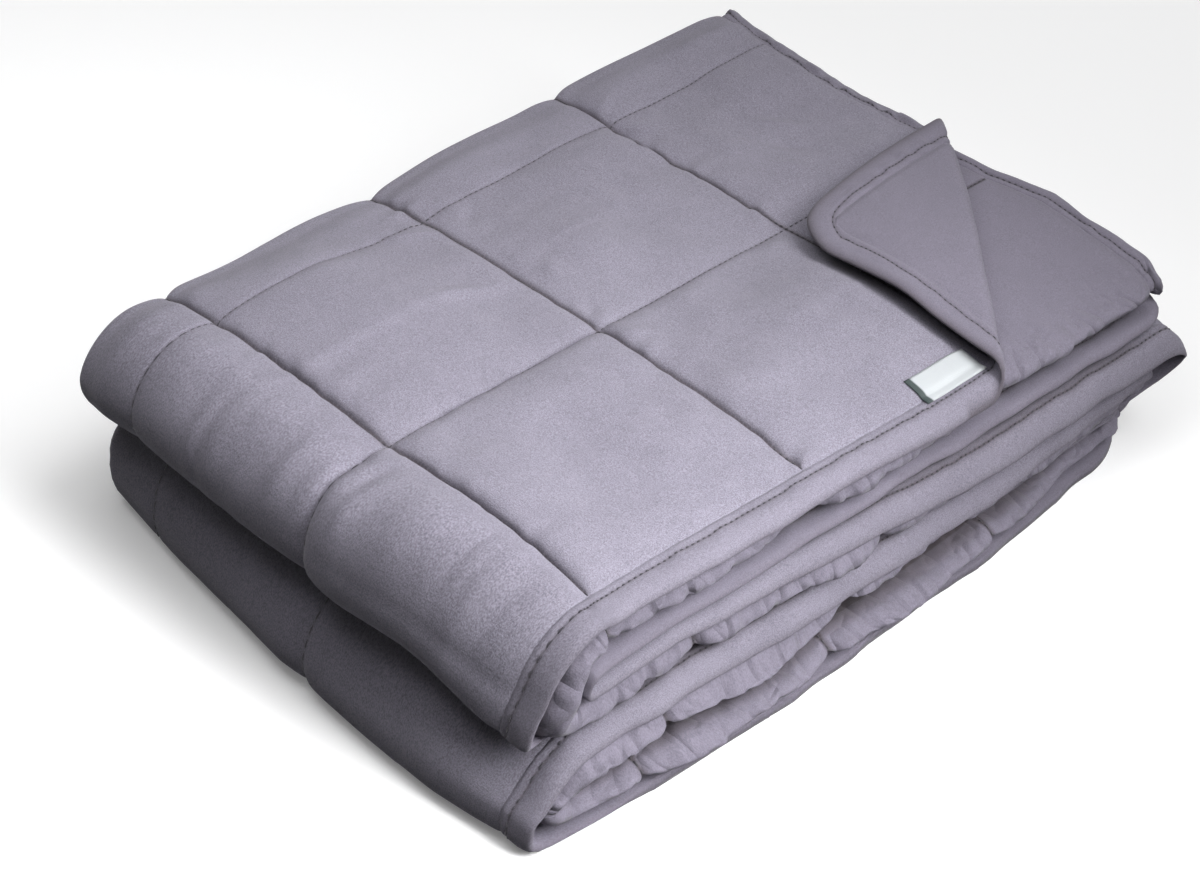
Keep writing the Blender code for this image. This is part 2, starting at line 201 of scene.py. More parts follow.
class Strip:
    """A strip folded back and forth in equal layers."""

    def __init__(self, rows: Rows, top: float, step: float) -> None:
        """Lays the strip out.

        Args:
            rows: where each layer starts and ends.
            top: the level of the first layer.
            step: the distance between layers.
        """
        self.step = step
        self.stretches: list[Stretch] = []
        at = 0.0
        for k, (start, end) in enumerate(rows):
            length, side = abs(end - start), math.copysign(1.0, end - start)
            self.stretches.append(Stretch(Run.STRAIGHT, at, at + length, start, side, top - k * step))
            at += length
            if k < len(rows) - 1:
                turn = math.pi * step / 2
                self.stretches.append(Stretch(Run.TURN, at, at + turn, end, side, top - (k + 0.5) * step))
                at += turn
        self.length = at
        self.turns = [s for s in self.stretches if s.kind is Run.TURN]
        self.straights = [s for s in self.stretches if s.kind is Run.STRAIGHT]

    def follow(self, s: Array) -> tuple[Array, Array, Array, Array]:
        """Where places on the strip end up.

        Args:
            s: distances along the strip.

        Returns:
            The place along the layers, the level, and the strip's direction there (along, up).
        """
        place, level, along, up = (np.zeros_like(s) for _ in range(4))
        last = len(self.stretches) - 1
        for i, run in enumerate(self.stretches):
            low = -np.inf if i == 0 else run.start
            high = np.inf if i == last else run.end
            here = (s >= low) & (s < high)
            d = s[here] - run.start
            if run.kind is Run.STRAIGHT:
                place[here], level[here], along[here] = run.place + run.side * d, run.level, run.side
                continue
            angle = 2 * d / self.step
            place[here] = run.place + run.side * self.step / 2 * np.sin(angle)
            level[here] = run.level + self.step / 2 * np.cos(angle)
            along[here], up[here] = run.side * np.cos(angle), -np.sin(angle)
        return place, level, along, up


@dataclass
class Folding:
    """How the flat cloth lies in the stack: two zigzags, the turned-back corner, and how it all settles."""

    height: float = 0.110
    layers: int = 4
    hem: float = 0.017
    middle: tuple[float, float] = (0.00775, -0.00775)
    sheet_rows: Rows = ((-0.1535, 0.1465), (0.1465, -0.1440), (-0.1440, 0.1465), (0.1465, -0.1535))
    leg_rows: Rows = ((0.2255, -0.1690), (-0.1690, 0.1980), (0.1980, -0.1700), (-0.1700, 0.2090))
    # How far each near edge reaches past its row: one row for each leg, at four places along the stack.
    reach_at: tuple[float, ...] = (-0.20, -0.08, 0.05, 0.20)
    reach_top: Rows = (
        (0.000, 0.004, 0.008, 0.006), (-0.008, -0.012, -0.012, -0.012),
        (0.004, 0.010, 0.011, 0.003), (-0.002, -0.003, -0.003, -0.004),
    )
    reach_fold: Rows = (
        (0.004, 0.006, 0.003, 0.000), (0.004, 0.010, 0.008, 0.002),
        (0.004, 0.014, 0.005, 0.000), (0.003, 0.008, 0.005, 0.000),
    )
    reach_end: Rows = (
        (0.000, 0.002, 0.001, 0.001), (0.000, 0.005, 0.014, 0.014),
        (-0.010, -0.012, -0.012, -0.004), (-0.010, -0.012, -0.012, -0.004),
    )
    reach_over: float = 0.07
    # Four heights in a nose, from its foot to its top, in legs from its middle.
    nose_at: tuple[float, ...] = (-1.0, -0.5, 0.0, 1.0)
    # The place across, then how far the nose is pushed along the stack at each of the four.
    upper_nose: Rows = (
        (-0.155, -0.018, -0.003, 0.007, 0.014), (-0.100, -0.017, -0.010, -0.002, 0.006),
        (0.000, -0.014, -0.012, -0.008, -0.002), (0.150, -0.006, -0.008, -0.007, 0.000),
    )
    lower_nose: Rows = (
        (-0.155, -0.026, -0.012, -0.004, 0.004), (-0.100, -0.028, -0.016, -0.008, 0.002),
        (0.000, -0.026, -0.018, -0.011, 0.000), (0.150, -0.010, -0.002, 0.002, 0.002),
    )
    nose_from: float = -0.148
    nose_full: float = -0.180
    upper_levels: Rise = Rise(1.8, 0.4)  # in legs: where the upper nose takes over from the lower
    # How far the near side bulges low down, along the stack.
    bulge: Rows = (
        (-0.21, 0.0), (-0.16, 0.009), (-0.06, 0.014), (0.08, 0.011), (0.16, 0.004), (0.23, -0.006),
    )
    bulge_across: Rise = Rise(0.02, -0.16)
    firm_levels: Rise = Rise(0.1, 1.9)  # in legs: where it no longer bulges
    # How far each level of the near side sinks, and how much of it each place along the stack takes.
    slump: Rows = (
        (0.0, 0.0), (0.020, 0.002), (0.036, 0.011), (0.055, 0.010),
        (0.066, 0.017), (0.085, 0.012), (0.110, 0.006),
    )
    slump_at: Rows = ((-0.20, 1.0), (-0.12, 0.55), (0.00, 0.8), (0.10, 1.0), (0.20, 0.42))
    slump_across: Rise = Rise(-0.08, -0.065)
    far_sink: Rows = ((-0.20, 0.007), (-0.03, 0.007), (0.09, 0.0), (0.22, -0.002))
    far_across: Rise = Rise(0.09, 0.06)
    # The open end's shortfall, by the distance across the cloth.
    short: Rows = (
        (0.00, 0.012), (0.15, 0.013), (0.21, 0.014), (0.26, 0.008), (0.31, 0.000),
        (0.40, 0.007), (0.46, 0.012), (0.50, 0.009), (0.53, 0.001), (0.60, 0.001),
        (0.75, 0.006), (0.90, 0.002), (1.05, 0.008), (1.21, 0.004),
    )
    short_over: float = 0.10
    sag: float = 0.012
    sag_along: Rise = Rise(0.09, 0.14)
    sag_across: Rise = Rise(-0.01, -0.15)
    droop_from: float = -0.1480
    droop_radius: float = 0.012
    droop_most: float = 1.1
    droop_levels: Rise = Rise(0.6, 1.0)  # in legs
    # What lies on the ground: past the start of the lowest leg, and short of the end of its lowest sheet.
    pressed_along: Rise = Rise(0.005, 0.03)
    pressed_across: Rise = Rise(-0.002, -0.012)
    crease_end: tuple[float, float] = (0.1980, -0.0110)
    crease_side: tuple[float, float] = (0.0720, -0.1560)
    roll: float = 0.0052
    flap_reach: float = 0.92
    flap_slip: float = -0.10
    flap_arch: float = 0.004
    flap_arch_over: float = 0.09
    corner_zone: float = 0.2

    def __post_init__(self) -> None:
        """Works out the two strips, and picks the waves of the free edges."""
        self.strip = self.height / self.layers
        self.pitch = self.strip / self.layers
        self.across = Strip(self.sheet_rows, 1.5 * self.pitch, self.pitch)
        self.along = Strip(self.leg_rows, (self.layers - 0.5) * self.strip, self.strip)
        self.width, self.length = self.across.length, self.along.length
        self.near_fold = self.across.turns[1].middle
        self.far_folds = (self.across.turns[0], self.across.turns[2])
        self.sway = Ripples(41, 0.05, 0.045)
        self.flutter = Ripples(42, 0.30, 0.021)

    def leg_of(self, v: Array) -> Array:
        """The leg each place is in, as a number that runs smoothly through the folds."""
        return sum(smooth((v - turn.start) / (turn.end - turn.start)) for turn in self.along.turns)

    def reach(self, u: Array, v: Array, x: Array) -> Array:
        """How far the near edges are drawn out past their rows.

        Args:
            u: places across the cloth.
            v: places along it.
            x: places along the stack.

        Returns:
            The distance towards the near side.
        """
        leg, total = self.leg_of(v), np.zeros_like(u)
        from_fold = np.abs(u - self.near_fold)
        edges = ((self.reach_top, u), (self.reach_fold, from_fold), (self.reach_end, self.width - u))
        for rows, distance in edges:
            by_leg = np.array([np.interp(x, self.reach_at, row) for row in rows])
            total += blend(by_leg, leg) * fade(distance, self.reach_over)
        return total

    def stack(self, flat: Array) -> Array:
        """Folds the flat cloth both ways.

        Args:
            flat: one row of (u, v, t) for each place.

        Returns:
            The rows x, y and z of the places in the stack.
        """
        u, v, t = flat.T
        y, n, ty, tn = self.across.follow(u)
        x, z, tx, tz = self.along.follow(v)
        y, n = y - tn * t, n + ty * t
        x, z = x + tz * n, z - tx * n
        fall = table(self.short, u) * fade(v, self.short_over)
        return np.array((x - fall, y - self.reach(u, v, x), z))

    def turn_corner(self, made: Array, flat: Array) -> Array:
        """Rolls what lies beyond the crease over onto the top sheet.

        Args:
            made: the rows x, y and z of the places in the stack.
            flat: one row of (u, v, t) for each place.

        Returns:
            The turned rows x, y and z.
        """
        (x, y, _), (u, v, t) = made, flat.T
        end, side = np.array(self.crease_end), np.array(self.crease_side)
        line = (side - end) / np.linalg.norm(side - end)
        out = np.array((-line[1], line[0]))
        along = (x - end[0]) * line[0] + (y - end[1]) * line[1]
        beyond = (x - end[0]) * out[0] + (y - end[1]) * out[1]
        turned = (u < self.corner_zone) & (v < self.corner_zone) & (beyond > 0)
        angle = np.minimum(beyond / self.roll, math.pi)
        past = np.maximum(beyond - math.pi * self.roll, 0.0)
        arch = self.flap_arch * np.sin(math.pi * np.clip(past / self.flap_arch_over, 0, 1))
        back = (self.roll - t) * np.sin(angle) - past * self.flap_reach
        up = self.roll - (self.roll - t) * np.cos(angle) + arch
        slid = along + past * self.flap_slip
        x, y = (end[n] + slid * line[n] + back * out[n] for n in (0, 1))
        return np.where(turned, (x, y, self.height - self.pitch / 2 + up), made)

    def nose(self, y: Array, z: Array, rows: Rows, centre: float) -> Array:
        """How far a nose's cloth is pushed along the stack.

        Args:
            y: places across the stack.
            z: levels.
            rows: the nose's table.
            centre: the level of its middle.

        Returns:
            The push of each place.
        """
        across, *columns = zip(*rows)
        rise = np.clip((z - centre) / self.strip, -1.0, 1.0)
        pushes = np.array([np.interp(y, across, column) for column in columns])
        return blend(pushes, np.interp(rise, self.nose_at, range(len(self.nose_at))))

    def settle(self, made: Array) -> Array:
        """The stack as it lies: noses pushed in or out, a hanging near edge, a low bulge, and the slump.

        Args:
            made: the rows x, y and z of the places in the stack.

        Returns:
            The settled rows x, y and z.
        """
        x, y, z = made
        at_noses = smooth((self.nose_from - x) / (self.nose_from - self.nose_full))
        upper = self.upper_levels.at(z, self.strip)
        dx = self.nose(y, z, self.upper_nose, 3 * self.strip) * upper
        dx = dx + self.nose(y, z, self.lower_nose, self.strip) * (1 - upper)
        over = np.maximum(self.droop_from - y, 0.0)
        angle = np.minimum(over / self.droop_radius, self.droop_most)
        straight = over - angle * self.droop_radius
        hang = self.droop_radius * (1 - np.cos(angle)) + straight * np.sin(angle)
        out = self.droop_radius * np.sin(angle) + straight * np.cos(angle)
        hanging, above = self.droop_levels.at(z, self.strip), smooth(z / self.height)
        y = np.where(over > 0, self.droop_from - out * hanging - over * (1 - hanging), y)
        dy = -table(self.bulge, x) * (1 - self.firm_levels.at(z, self.strip)) * self.bulge_across.at(y)
        dz = -hang * hanging
        dz -= table(self.far_sink, x) * self.far_across.at(y) * above
        dz -= table(self.slump_at, x) * self.slump_across.at(y) * table(self.slump, z)
        dz -= self.sag * self.sag_along.at(x) * self.sag_across.at(y) * above
        return np.array((x + dx * at_noses, y + dy, z + dz))

    def press(self, z: Array, flat: Array) -> Array:
        """The levels, with the underside of the lowest sheet pressed flat on what the blanket lies on."""
        u, v, t = flat.T
        down = self.pressed_along.at(v - self.along.straights[-1].start)
        down = down * self.pressed_across.at(u - self.across.straights[0].end)
        return np.where(t > 0, z * (1 - down), z)

    def lay(self, flat: Array) -> Array:
        """Carries flat places into the stack.

        Args:
            flat: one row of (u, v, t) for each place.

        Returns:
            One row of (x, y, z) for each.
        """
        x, y, z = self.settle(self.turn_corner(self.stack(flat), flat))
        z = np.maximum(self.press(z, flat), 0.0)
        return np.stack((x - self.middle[0], y - self.middle[1], z), axis=1)


# ------------------------------------------------------------ the cloth's faces


@dataclass(frozen=True)
class SeamShape:
    """How a sewn line draws the faces together: a sharp crease in a dip, maybe wider on its far side."""

    crease: float = 0.60
    crease_width: float = 0.0016
    dip: float = 0.34
    dip_width: float = 0.010
    far_width: float = 0.010

    def pull(self, distance: Array, past: Array) -> Array:
        """The pull at a distance from the line, where the places past it are marked."""
        wide = np.where(past, self.far_width, self.dip_width)
        return self.crease * np.exp(-distance / self.crease_width) + self.dip * np.exp(-distance / wide)


@dataclass
class Cloth:
    """The cloth's two faces: filled squares, sewn channels, puckers and the binding's section."""

    folding: Folding
    square: float = 0.121
    squares_whole: tuple[int, int] = (5, 4)
    squares: tuple[int, int] = (10, 14)
    least_half: float = 0.0004
    seam_half: float = 0.0008
    crown_half: float = 0.0030
    loft: float = 0.0046
    stitch_inset: float = 0.0124
    panel_from: Rise = Rise(0.0152, 0.0020)  # the panel's rim stays inside the binding
    # Inset from the edge, and half the binding's thickness there.
    binding_half: Rows = (
        (0.0, 0.0), (0.0003, 0.0006), (0.0010, 0.0010), (0.0025, 0.0013), (0.0050, 0.0015),
        (0.0085, 0.0015), (0.0105, 0.0014), (0.0117, 0.0011), (0.0124, 0.0009), (0.0131, 0.0011),
        (0.0142, 0.0013), (0.0155, 0.0012), (0.0165, 0.0009), (0.0171, 0.0004),
    )
    seam: SeamShape = SeamShape()
    beside_binding: SeamShape = SeamShape(0.15, 0.0012, 0.80, 0.020, 0.020)
    # The two lines along the stack's top: a soft valley, then a faint crease.
    loose: tuple[SeamShape, SeamShape] = (
        SeamShape(0.20, 0.0016, 0.74, 0.0055, 0.026),
        SeamShape(0.16, 0.0012, 0.12, 0.010, 0.016),
    )
    # Single wrinkles: u, v, half length across and along, half width, height.
    wrinkles: Rows = (
        (0.196, 0.283, -0.0060, -0.0180, 0.0030, 0.0009), (0.252, 0.272, -0.0050, -0.0090, 0.0028, 0.0010),
        (0.264, 0.263, 0.0070, 0.0010, 0.0030, -0.0012), (0.245, 0.242, 0.0050, -0.0060, 0.0028, -0.0010),
        (0.183, 0.246, -0.0060, 0.0020, 0.0032, 0.0010), (0.152, 0.251, -0.0080, 0.0040, 0.0028, -0.0010),
        (0.122, 0.250, -0.0040, -0.0070, 0.0030, 0.0009), (0.143, 0.405, 0.0050, 0.0060, 0.0045, 0.0016),
        (0.136, 0.396, 0.0050, 0.0030, 0.0040, -0.0014), (0.124, 0.397, 0.0030, 0.0060, 0.0042, -0.0018),
        (0.121, 0.406, 0.0060, 0.0040, 0.0045, 0.0014), (0.160, 0.404, 0.0040, 0.0080, 0.0040, 0.0010),
        (0.222, 0.404, 0.0220, 0.0030, 0.0055, -0.0011), (0.190, 0.401, 0.0160, 0.0040, 0.0050, 0.0010),
        (0.090, 0.404, 0.0200, 0.0030, 0.0060, 0.0012), (0.074, 0.411, 0.0160, 0.0020, 0.0060, -0.0012),
        (0.048, 0.403, 0.0030, 0.0110, 0.0035, 0.0009), (0.062, 0.399, 0.0020, 0.0090, 0.0030, -0.0008),
        (0.036, 0.404, 0.0030, 0.0100, 0.0035, -0.0008), (0.209, 0.413, 0.0010, 0.0120, 0.0024, -0.0007),
        (0.216, 0.411, 0.0010, 0.0130, 0.0024, 0.0006), (0.182, 0.418, 0.0010, 0.0110, 0.0026, 0.0006),
        (0.241, 0.133, 0.0100, 0.0060, 0.0035, -0.0010), (0.230, 0.144, 0.0110, 0.0030, 0.0035, 0.0009),
        (0.272, 0.129, -0.0050, 0.0100, 0.0035, 0.0010), (0.203, 0.076, 0.0120, 0.0100, 0.0045, 0.0011),
        (0.186, 0.086, 0.0120, 0.0090, 0.0042, -0.0010), (0.172, 0.101, 0.0090, 0.0060, 0.0040, 0.0008),
        (0.070, 0.186, 0.0120, 0.0020, 0.0060, 0.0012), (0.040, 0.200, 0.0100, 0.0050, 0.0060, -0.0010),
        (0.050, 0.228, 0.0060, 0.0130, 0.0050, -0.0009),
    )
    wrinkle_share: float = 1.6
    # Pinches of the near side's middle fold: place along the cloth, depth, half width.
    pleats: Rows = (
        (0.170, 0.0030, 0.0040), (0.218, 0.0034, 0.0030), (0.243, 0.0044, 0.0034), (0.311, 0.0040, 0.0040),
        (0.338, 0.0030, 0.0040), (0.372, 0.0040, 0.0030), (0.455, 0.0046, 0.0030), (0.473, 0.0056, 0.0040),
        (0.494, 0.0030, 0.0040), (0.528, 0.0030, 0.0040), (0.682, 0.0044, 0.0040), (0.719, 0.0030, 0.0040),
        (0.751, 0.0030, 0.0040), (1.145, 0.0026, 0.0050), (1.207, 0.0040, 0.0030), (1.245, 0.0026, 0.0040),
        (1.319, 0.0040, 0.0030), (1.328, 0.0040, 0.0030), (1.360, 0.0026, 0.0040),
    )
    pleat_depth: float = 0.6
    pleat_width: float = 0.7
    pleat_slant: float = 0.3
    # The heights of the waves, and how far from a seam or a fold the small ones reach.
    pucker: float = 0.0017
    pucker_over: float = 0.009
    pucker_from: float = 0.0010
    dent: float = 0.0017
    swell: float = 0.0036
    crumple: float = 0.0006
    buckle: float = 0.0007
    buckle_width: float = 0.35
    buckle_over: float = 0.016
    crush: float = 0.0013
    crush_slants: tuple[float, float] = (0.7, 0.5)
    crush_widths: tuple[float, float] = (0.30, 0.25)
    crush_second: float = 0.7
    crush_over: float = 0.026
    loose_share: float = 0.5  # of the puckers, at the loose seams
    hidden_share: float = 0.25  # of the whole relief, where it hardly shows
    gather: float = 0.0006
    end_gather: float = 0.0004
    gather_inset: float = 0.0105
    gather_over: float = 0.005
    soften: float = 0.02  # over what distance one zone of the cloth passes into the next
    label_zone: tuple[Rise, ...] = (Rise(0.036, -0.008), Rise(0.196, -0.008), Rise(0.138, 0.007))
    # How far in from a fold or an edge the near side's layers hide the cloth, where shade is painted on it.
    deep_in_folds: Rise = Rise(0.0040, 0.006)
    deep_by_edges: Rise = Rise(0.0075, 0.010)
    deep_end: float = 0.030
    # The near side's folds: how much thinner the cloth is there, and how far that and its slack reach.
    thinner: float = 0.32
    thin_over: float = 0.050
    slack_over: float = 0.034
    # The free edges and the folds: how far in their waves reach, and how large these are.
    rim: float = 0.022
    flutter: float = 0.0007
    puff: float = 0.0010
    sway: float = 0.0030
    far_sway: float = 0.0026
    lip: float = 0.0014
    end_fringe: float = 0.0016
    end_fringe_over: float = 0.025
    side_fringe: float = 0.0012
    side_change: float = 0.2  # how much of the fringe's change across the cloth its sides show
    # How far a seam draws a fold in: broadly, and in a sharp notch.
    seam_draw: tuple[float, float] = (0.0024, 0.0075)
    seam_notch: tuple[float, float] = (0.0022, 0.0020)
    # How much of their height the near folds are pinched by, how much that varies, and how deep it goes.
    pinch: tuple[float, float] = (0.44, 0.16)
    pinch_depth: float = 0.010
    tuck: float = 0.0070
    tuck_over: float = 0.030
    # The bound ends, past the turned-back corner: swollen, ruffled, drawn in and curled down.
    ends_from: float = 0.15
    end_swell: float = 0.5
    end_ruffle: float = 0.0009
    end_draw: float = 0.0042
    end_drop: float = 0.0030

    def __post_init__(self) -> None:
        """Places the seams, and picks the waves."""
        fold = self.folding
        self.seams_u = self.seams(fold.width, self.squares[0], self.squares_whole[0])
        self.seams_v = self.seams(fold.length, self.squares[1], self.squares_whole[1])
        self.puckers = (Ripples(11, 0.014, 0.0065), Ripples(12, 0.0065, 0.014))
        self.strength = Ripples(17, 0.026, 0.026)
        self.dents = Ripples(13, 0.030, 0.027)
        self.swells = Ripples(14, 0.062, 0.055)
        self.crumples = (Ripples(18, 0.0100, 0.030), Ripples(19, 0.026, 0.0085))
        self.gathers = Ripples(15, 0.0060, 0.0060)
        self.lips = Ripples(16, 0.020, 0.020)
        self.puffs = Ripples(20, 0.012, 0.016)
        self.crushes = (Ripples(22, 0.030, 0.021), Ripples(24, 0.024, 0.030))
        self.buckles = Ripples(23, 0.030, 0.030)
        self.fringe = Ripples(21, 0.019, 0.019)

    def seams(self, total: float, count: int, whole: int) -> Array:
        """Places the seams of one direction.

        Args:
            total: the cloth's size in this direction.
            count: how many squares it has.
            whole: how many of them, from the first, have their full size; the others share what is left.

        Returns:
            The places of the seams, in order.
        """
        first = [self.folding.hem + self.square * k for k in range(whole + 1)]
        others = np.linspace(first[-1], total - self.folding.hem, count - whole + 1)[1:]
        return np.array(first + list(others))

    def near(self, s: Array, lines: Array) -> tuple[Array, Array]:
        """The nearest seam to each place.

        Args:
            s: places across or along the cloth.
            lines: the seams.

        Returns:
            The distance to the nearest seam, and its index.
        """
        after = np.clip(np.searchsorted(lines, s), 1, len(lines) - 1)
        low, high = s - lines[after - 1], lines[after] - s
        return np.maximum(np.minimum(low, high), 0.0), np.where(low < high, after - 1, after)

    def from_seams(self, u: Array, v: Array) -> tuple[Array, Array, Array]:
        """The distance to the nearest seam along the cloth, its index, and that to the nearest across it."""
        return (*self.near(u, self.seams_u), self.near(v, self.seams_v)[0])

    def at_near_folds(self, u: Array, over: float) -> Array:
        """1 at the middle fold of the sheets, on the near side, falling to 0 at this distance from it."""
        return fade(np.abs(u - self.folding.near_fold), over)

    def less_at_loose(self, seam: Array, share: float) -> Array:
        """1 for most seams, and this share for the two loose ones along the stack's top."""
        return np.where((seam == 1) | (seam == 2), share, 1.0)

    def crown(self, u: Array, v: Array) -> Array:
        """How far each place stands up out of the seams, 0 to 1."""
        du, ku, dv = self.from_seams(u, v)
        past = u > self.seams_u[ku]
        across = self.seam.pull(du, past)
        for k, shape in enumerate((self.beside_binding, *self.loose)):
            across = np.where(ku == k, shape.pull(du, past), across)
        return (1 - across) * (1 - self.seam.pull(dv, dv > 0))

    def creases(self, u: Array, v: Array) -> Array:
        """The wrinkles that are placed one by one: their height, in metres."""
        total = np.zeros_like(u)
        for at_u, at_v, du, dv, width, height in self.wrinkles:
            length = math.hypot(du, dv)
            along = ((u - at_u) * du + (v - at_v) * dv) / length
            across = ((u - at_u) * dv - (v - at_v) * du) / length
            total += height * bell(along, length) * bell(across, width)
        return total

    def on_top(self, u: Array, v: Array) -> Array:
        """1 where the cloth is the stack's free top and upper nose, 0 in the turned corner and below."""
        fold = self.folding
        edge = self.square + fold.hem
        corner = fade(u - edge, self.soften) * fade(v - edge, self.soften)
        sheet, nose = fold.across.straights[0].end, fold.along.turns[0].end
        return smooth((sheet - u) / self.soften) * smooth((nose - v) / (2 * self.soften)) * (1 - corner)

    def relief(self, u: Array, v: Array) -> Array:
        """The puckers and dents that the stitching and the filling make.

        Args:
            u: places across the cloth.
            v: places along it.

        Returns:
            Their height, in metres.
        """
        du, ku, dv = self.from_seams(u, v)
        calm = 1 - self.under_label(u, v)
        shares = (self.less_at_loose(ku, self.loose_share), 1.0)
        small = sum(
            share * waves.at(u, v) * np.exp(-d / self.pucker_over) * (1 - np.exp(-d / self.pucker_from))
            for share, waves, d in zip(shares, self.puckers, (du, dv))
        )
        strong = smooth(0.75 + 0.75 * self.strength.at(u, v))
        turned = self.strength.at(v, u)
        first, second = (waves.at(u, v) for waves in self.crumples)
        broad = self.dent * self.dents.at(u, v) + self.swell * self.swells.at(u, v)
        broad += self.crumple * (first * smooth(0.5 + turned) + second * smooth(0.5 - turned))
        by_seam = np.exp(-np.minimum(du, dv) / self.buckle_over)
        sharp = self.buckle * self.buckles.creases(u, v, self.buckle_width) * by_seam
        (a, b), (wide, slim) = self.crush_slants, self.crush_widths
        slanted = self.crushes[0].creases(u + a * v, v - b * u, wide)
        slanted += self.crush_second * self.crushes[1].creases(u - v, v, slim)
        crushed = self.crush * slanted * self.at_near_folds(u, self.crush_over)
        return (self.pucker * small * strong + broad * self.crown(u, v) - sharp) * calm - crushed

    def recess(self, u: Array, v: Array, side: Array) -> Array:
        """How deep between the near side's layers each place is, which sets how much shade is painted there.

        Args:
            u: places across the cloth.
            v: places along it.
            side: 1 for the outer face and -1 for the inner one.

        Returns:
            0 on what shows and 1 deep inside.
        """
        fold = self.folding
        inner = np.abs(u - fold.near_fold)
        ends = fade(inner - self.deep_end, self.soften) * Rise(0.18, 0.04).at(v)
        # painted shade on the inner faces in the near side's middle fold
        in_folds = self.deep_in_folds.at(inner) * ends * (side < 0)
        # painted shade on the faces beside the free edges of the lower layers, under the layers above
        edge = np.minimum(u, fold.width - u)
        covered = smooth((v - fold.along.turns[0].end) / self.soften) + (u > fold.near_fold)
        by_edge = self.deep_by_edges.at(edge) * fade(edge - self.deep_end, self.soften)
        by_edge *= np.minimum(covered, 1.0) * Rise(0.03, self.soften).at(v)
        for turn in fold.along.turns:  # the stack's ends are open to the light
            past_turn = np.abs(v - turn.middle) - 0.5 * (turn.end - turn.start)
            by_edge *= Rise(0.004, self.soften).at(past_turn)
        return np.maximum(in_folds, by_edge)

    def under_label(self, u: Array, v: Array) -> Array:
        """1 where the small label lies, which keeps the cloth smooth there."""
        return math.prod(rise.at(x) for rise, x in zip(self.label_zone, (u, v, v)))

    def inset(self, u: Array, v: Array) -> Array:
        """How far in from the cloth's edge each place is."""
        fold = self.folding
        return np.minimum(np.minimum(u, fold.width - u), np.minimum(v, fold.length - v))

    def face(self, u: Array, v: Array, side: Array) -> Array:
        """The level of the panel's faces through the cloth.

        Args:
            u: places across the cloth.
            v: places along it.
            side: 1 for the outer face and -1 for the inner one.

        Returns:
            The level t of each place.
        """
        crown, top = self.crown(u, v), self.on_top(u, v)
        thin = 1 - self.thinner * self.at_near_folds(u, self.thin_over)
        half = self.seam_half + (self.crown_half - self.seam_half) * crown * thin
        placed = self.wrinkle_share * self.creases(u, v) * (1 - self.under_label(u, v))
        lift = np.where(side > 0, (self.loft * crown + placed) * top, 0.0)
        free = np.maximum(np.where(side > 0, top, 0.0), self.at_near_folds(u, self.crush_over))
        share = self.hidden_share + (1 - self.hidden_share) * free
        level = np.maximum(half + lift + self.relief(u, v) * share, self.least_half)
        shown = self.panel_from.at(self.inset(u, v))
        return side * (self.least_half + (level - self.least_half) * shown)

    def hem_face(self, inset: Array, u: Array, v: Array, side: Array) -> Array:
        """The level of the binding's faces.

        Args:
            inset: how far in from the cloth's edge each place is.
            u: places across the cloth.
            v: places along it.
            side: 1 for the outer face and -1 for the inner one.

        Returns:
            The level t of each place.
        """
        half = table(self.binding_half, inset)
        height = self.gather + self.end_gather * (v < self.soften)
        gather = self.gathers.at(u, v) * bell(inset - self.gather_inset, self.gather_over) * height
        return side * (half + gather * np.minimum(half / self.seam_half, 1.0))

    def draw_folds(self, made: Array, u: Array, v: Array, at_fold: Array) -> None:
        """Draws the folds in where they are sewn or pleated, and lets them and the side edges wander.

        Args:
            made: the places in the stack, which are changed.
            u: the same places across the flat cloth.
            v: the same places along it.
            at_fold: 1 at the near side's folds, 0 away from them.
        """
        fold = self.folding
        from_seam, _ = self.near(v, self.seams_v)
        depth, width = self.seam_draw
        by_seam = depth * bell(from_seam, width)
        drawn = by_seam + self.seam_notch[0] * np.exp(-from_seam / self.seam_notch[1])
        for place, depth, width in self.pleats:
            off = np.abs(v - place - self.pleat_slant * (u - fold.near_fold))
            drawn += self.pleat_depth * depth * np.exp(-off / (self.pleat_width * width))
        drawn += self.sway * fold.sway.at(u, v) + self.lip * self.lips.at(u, v)
        far = by_seam + self.far_sway * fold.sway.at(v, u)
        for turn in fold.far_folds:
            made[:, 1] -= far * fade(np.abs(u - turn.middle), self.rim)
        at_side = fade(np.minimum(u, fold.width - u), self.rim)
        fringe = self.side_fringe * self.fringe.at(v, u * self.side_change)
        made[:, 1] += drawn * at_fold + fringe * at_side

    def place(self, flat: Array) -> Array:
        """Carries flat places into the stack, with the sway of the free edges.

        Args:
            flat: one row of (u, v, t) for each place.

        Returns:
            One row of (x, y, z) for each.
        """
        fold = self.folding
        u, v, t = flat.T
        at_fold = self.at_near_folds(u, self.rim)
        end = np.clip(1 - v / self.stitch_inset, 0.0, 1.0) * (u > self.ends_from)
        t = t * (1 + self.end_swell * np.sin(math.pi * end))
        t = t + self.end_ruffle * self.gathers.at(u, v) * np.sin(math.pi * np.sqrt(end))
        t = t + self.flutter * fold.flutter.at(u, v) * fade(self.inset(u, v), self.rim)
        t = t + self.puff * self.puffs.at(u, v) * at_fold
        shifted = v + self.end_draw * end
        made = fold.lay(np.stack((u, shifted, t), axis=1))
        apex = fold.lay(np.stack((np.full_like(u, fold.near_fold), shifted, np.zeros_like(u)), axis=1))
        within = np.exp(-np.maximum(made[:, 1] - apex[:, 1], 0.0) / self.pinch_depth)
        pinch = (self.pinch[0] + self.pinch[1] * self.lips.at(v, v)) * at_fold * within
        pinch *= smooth(v / self.tuck_over)
        made[:, ::2] -= (made - apex)[:, ::2] * pinch[:, None]
        made[:, 0] -= self.tuck * at_fold * np.clip(1 - v / self.tuck_over, 0.0, 1.0)
        made[:, 0] += self.end_fringe * self.fringe.at(u, v) * fade(v, self.end_fringe_over)
        made[:, 2] -= self.end_drop * end**2
        self.draw_folds(made, u, v, at_fold)
        return made


# ------------------------------------------------------------ finishes


Number = Union[float, int]


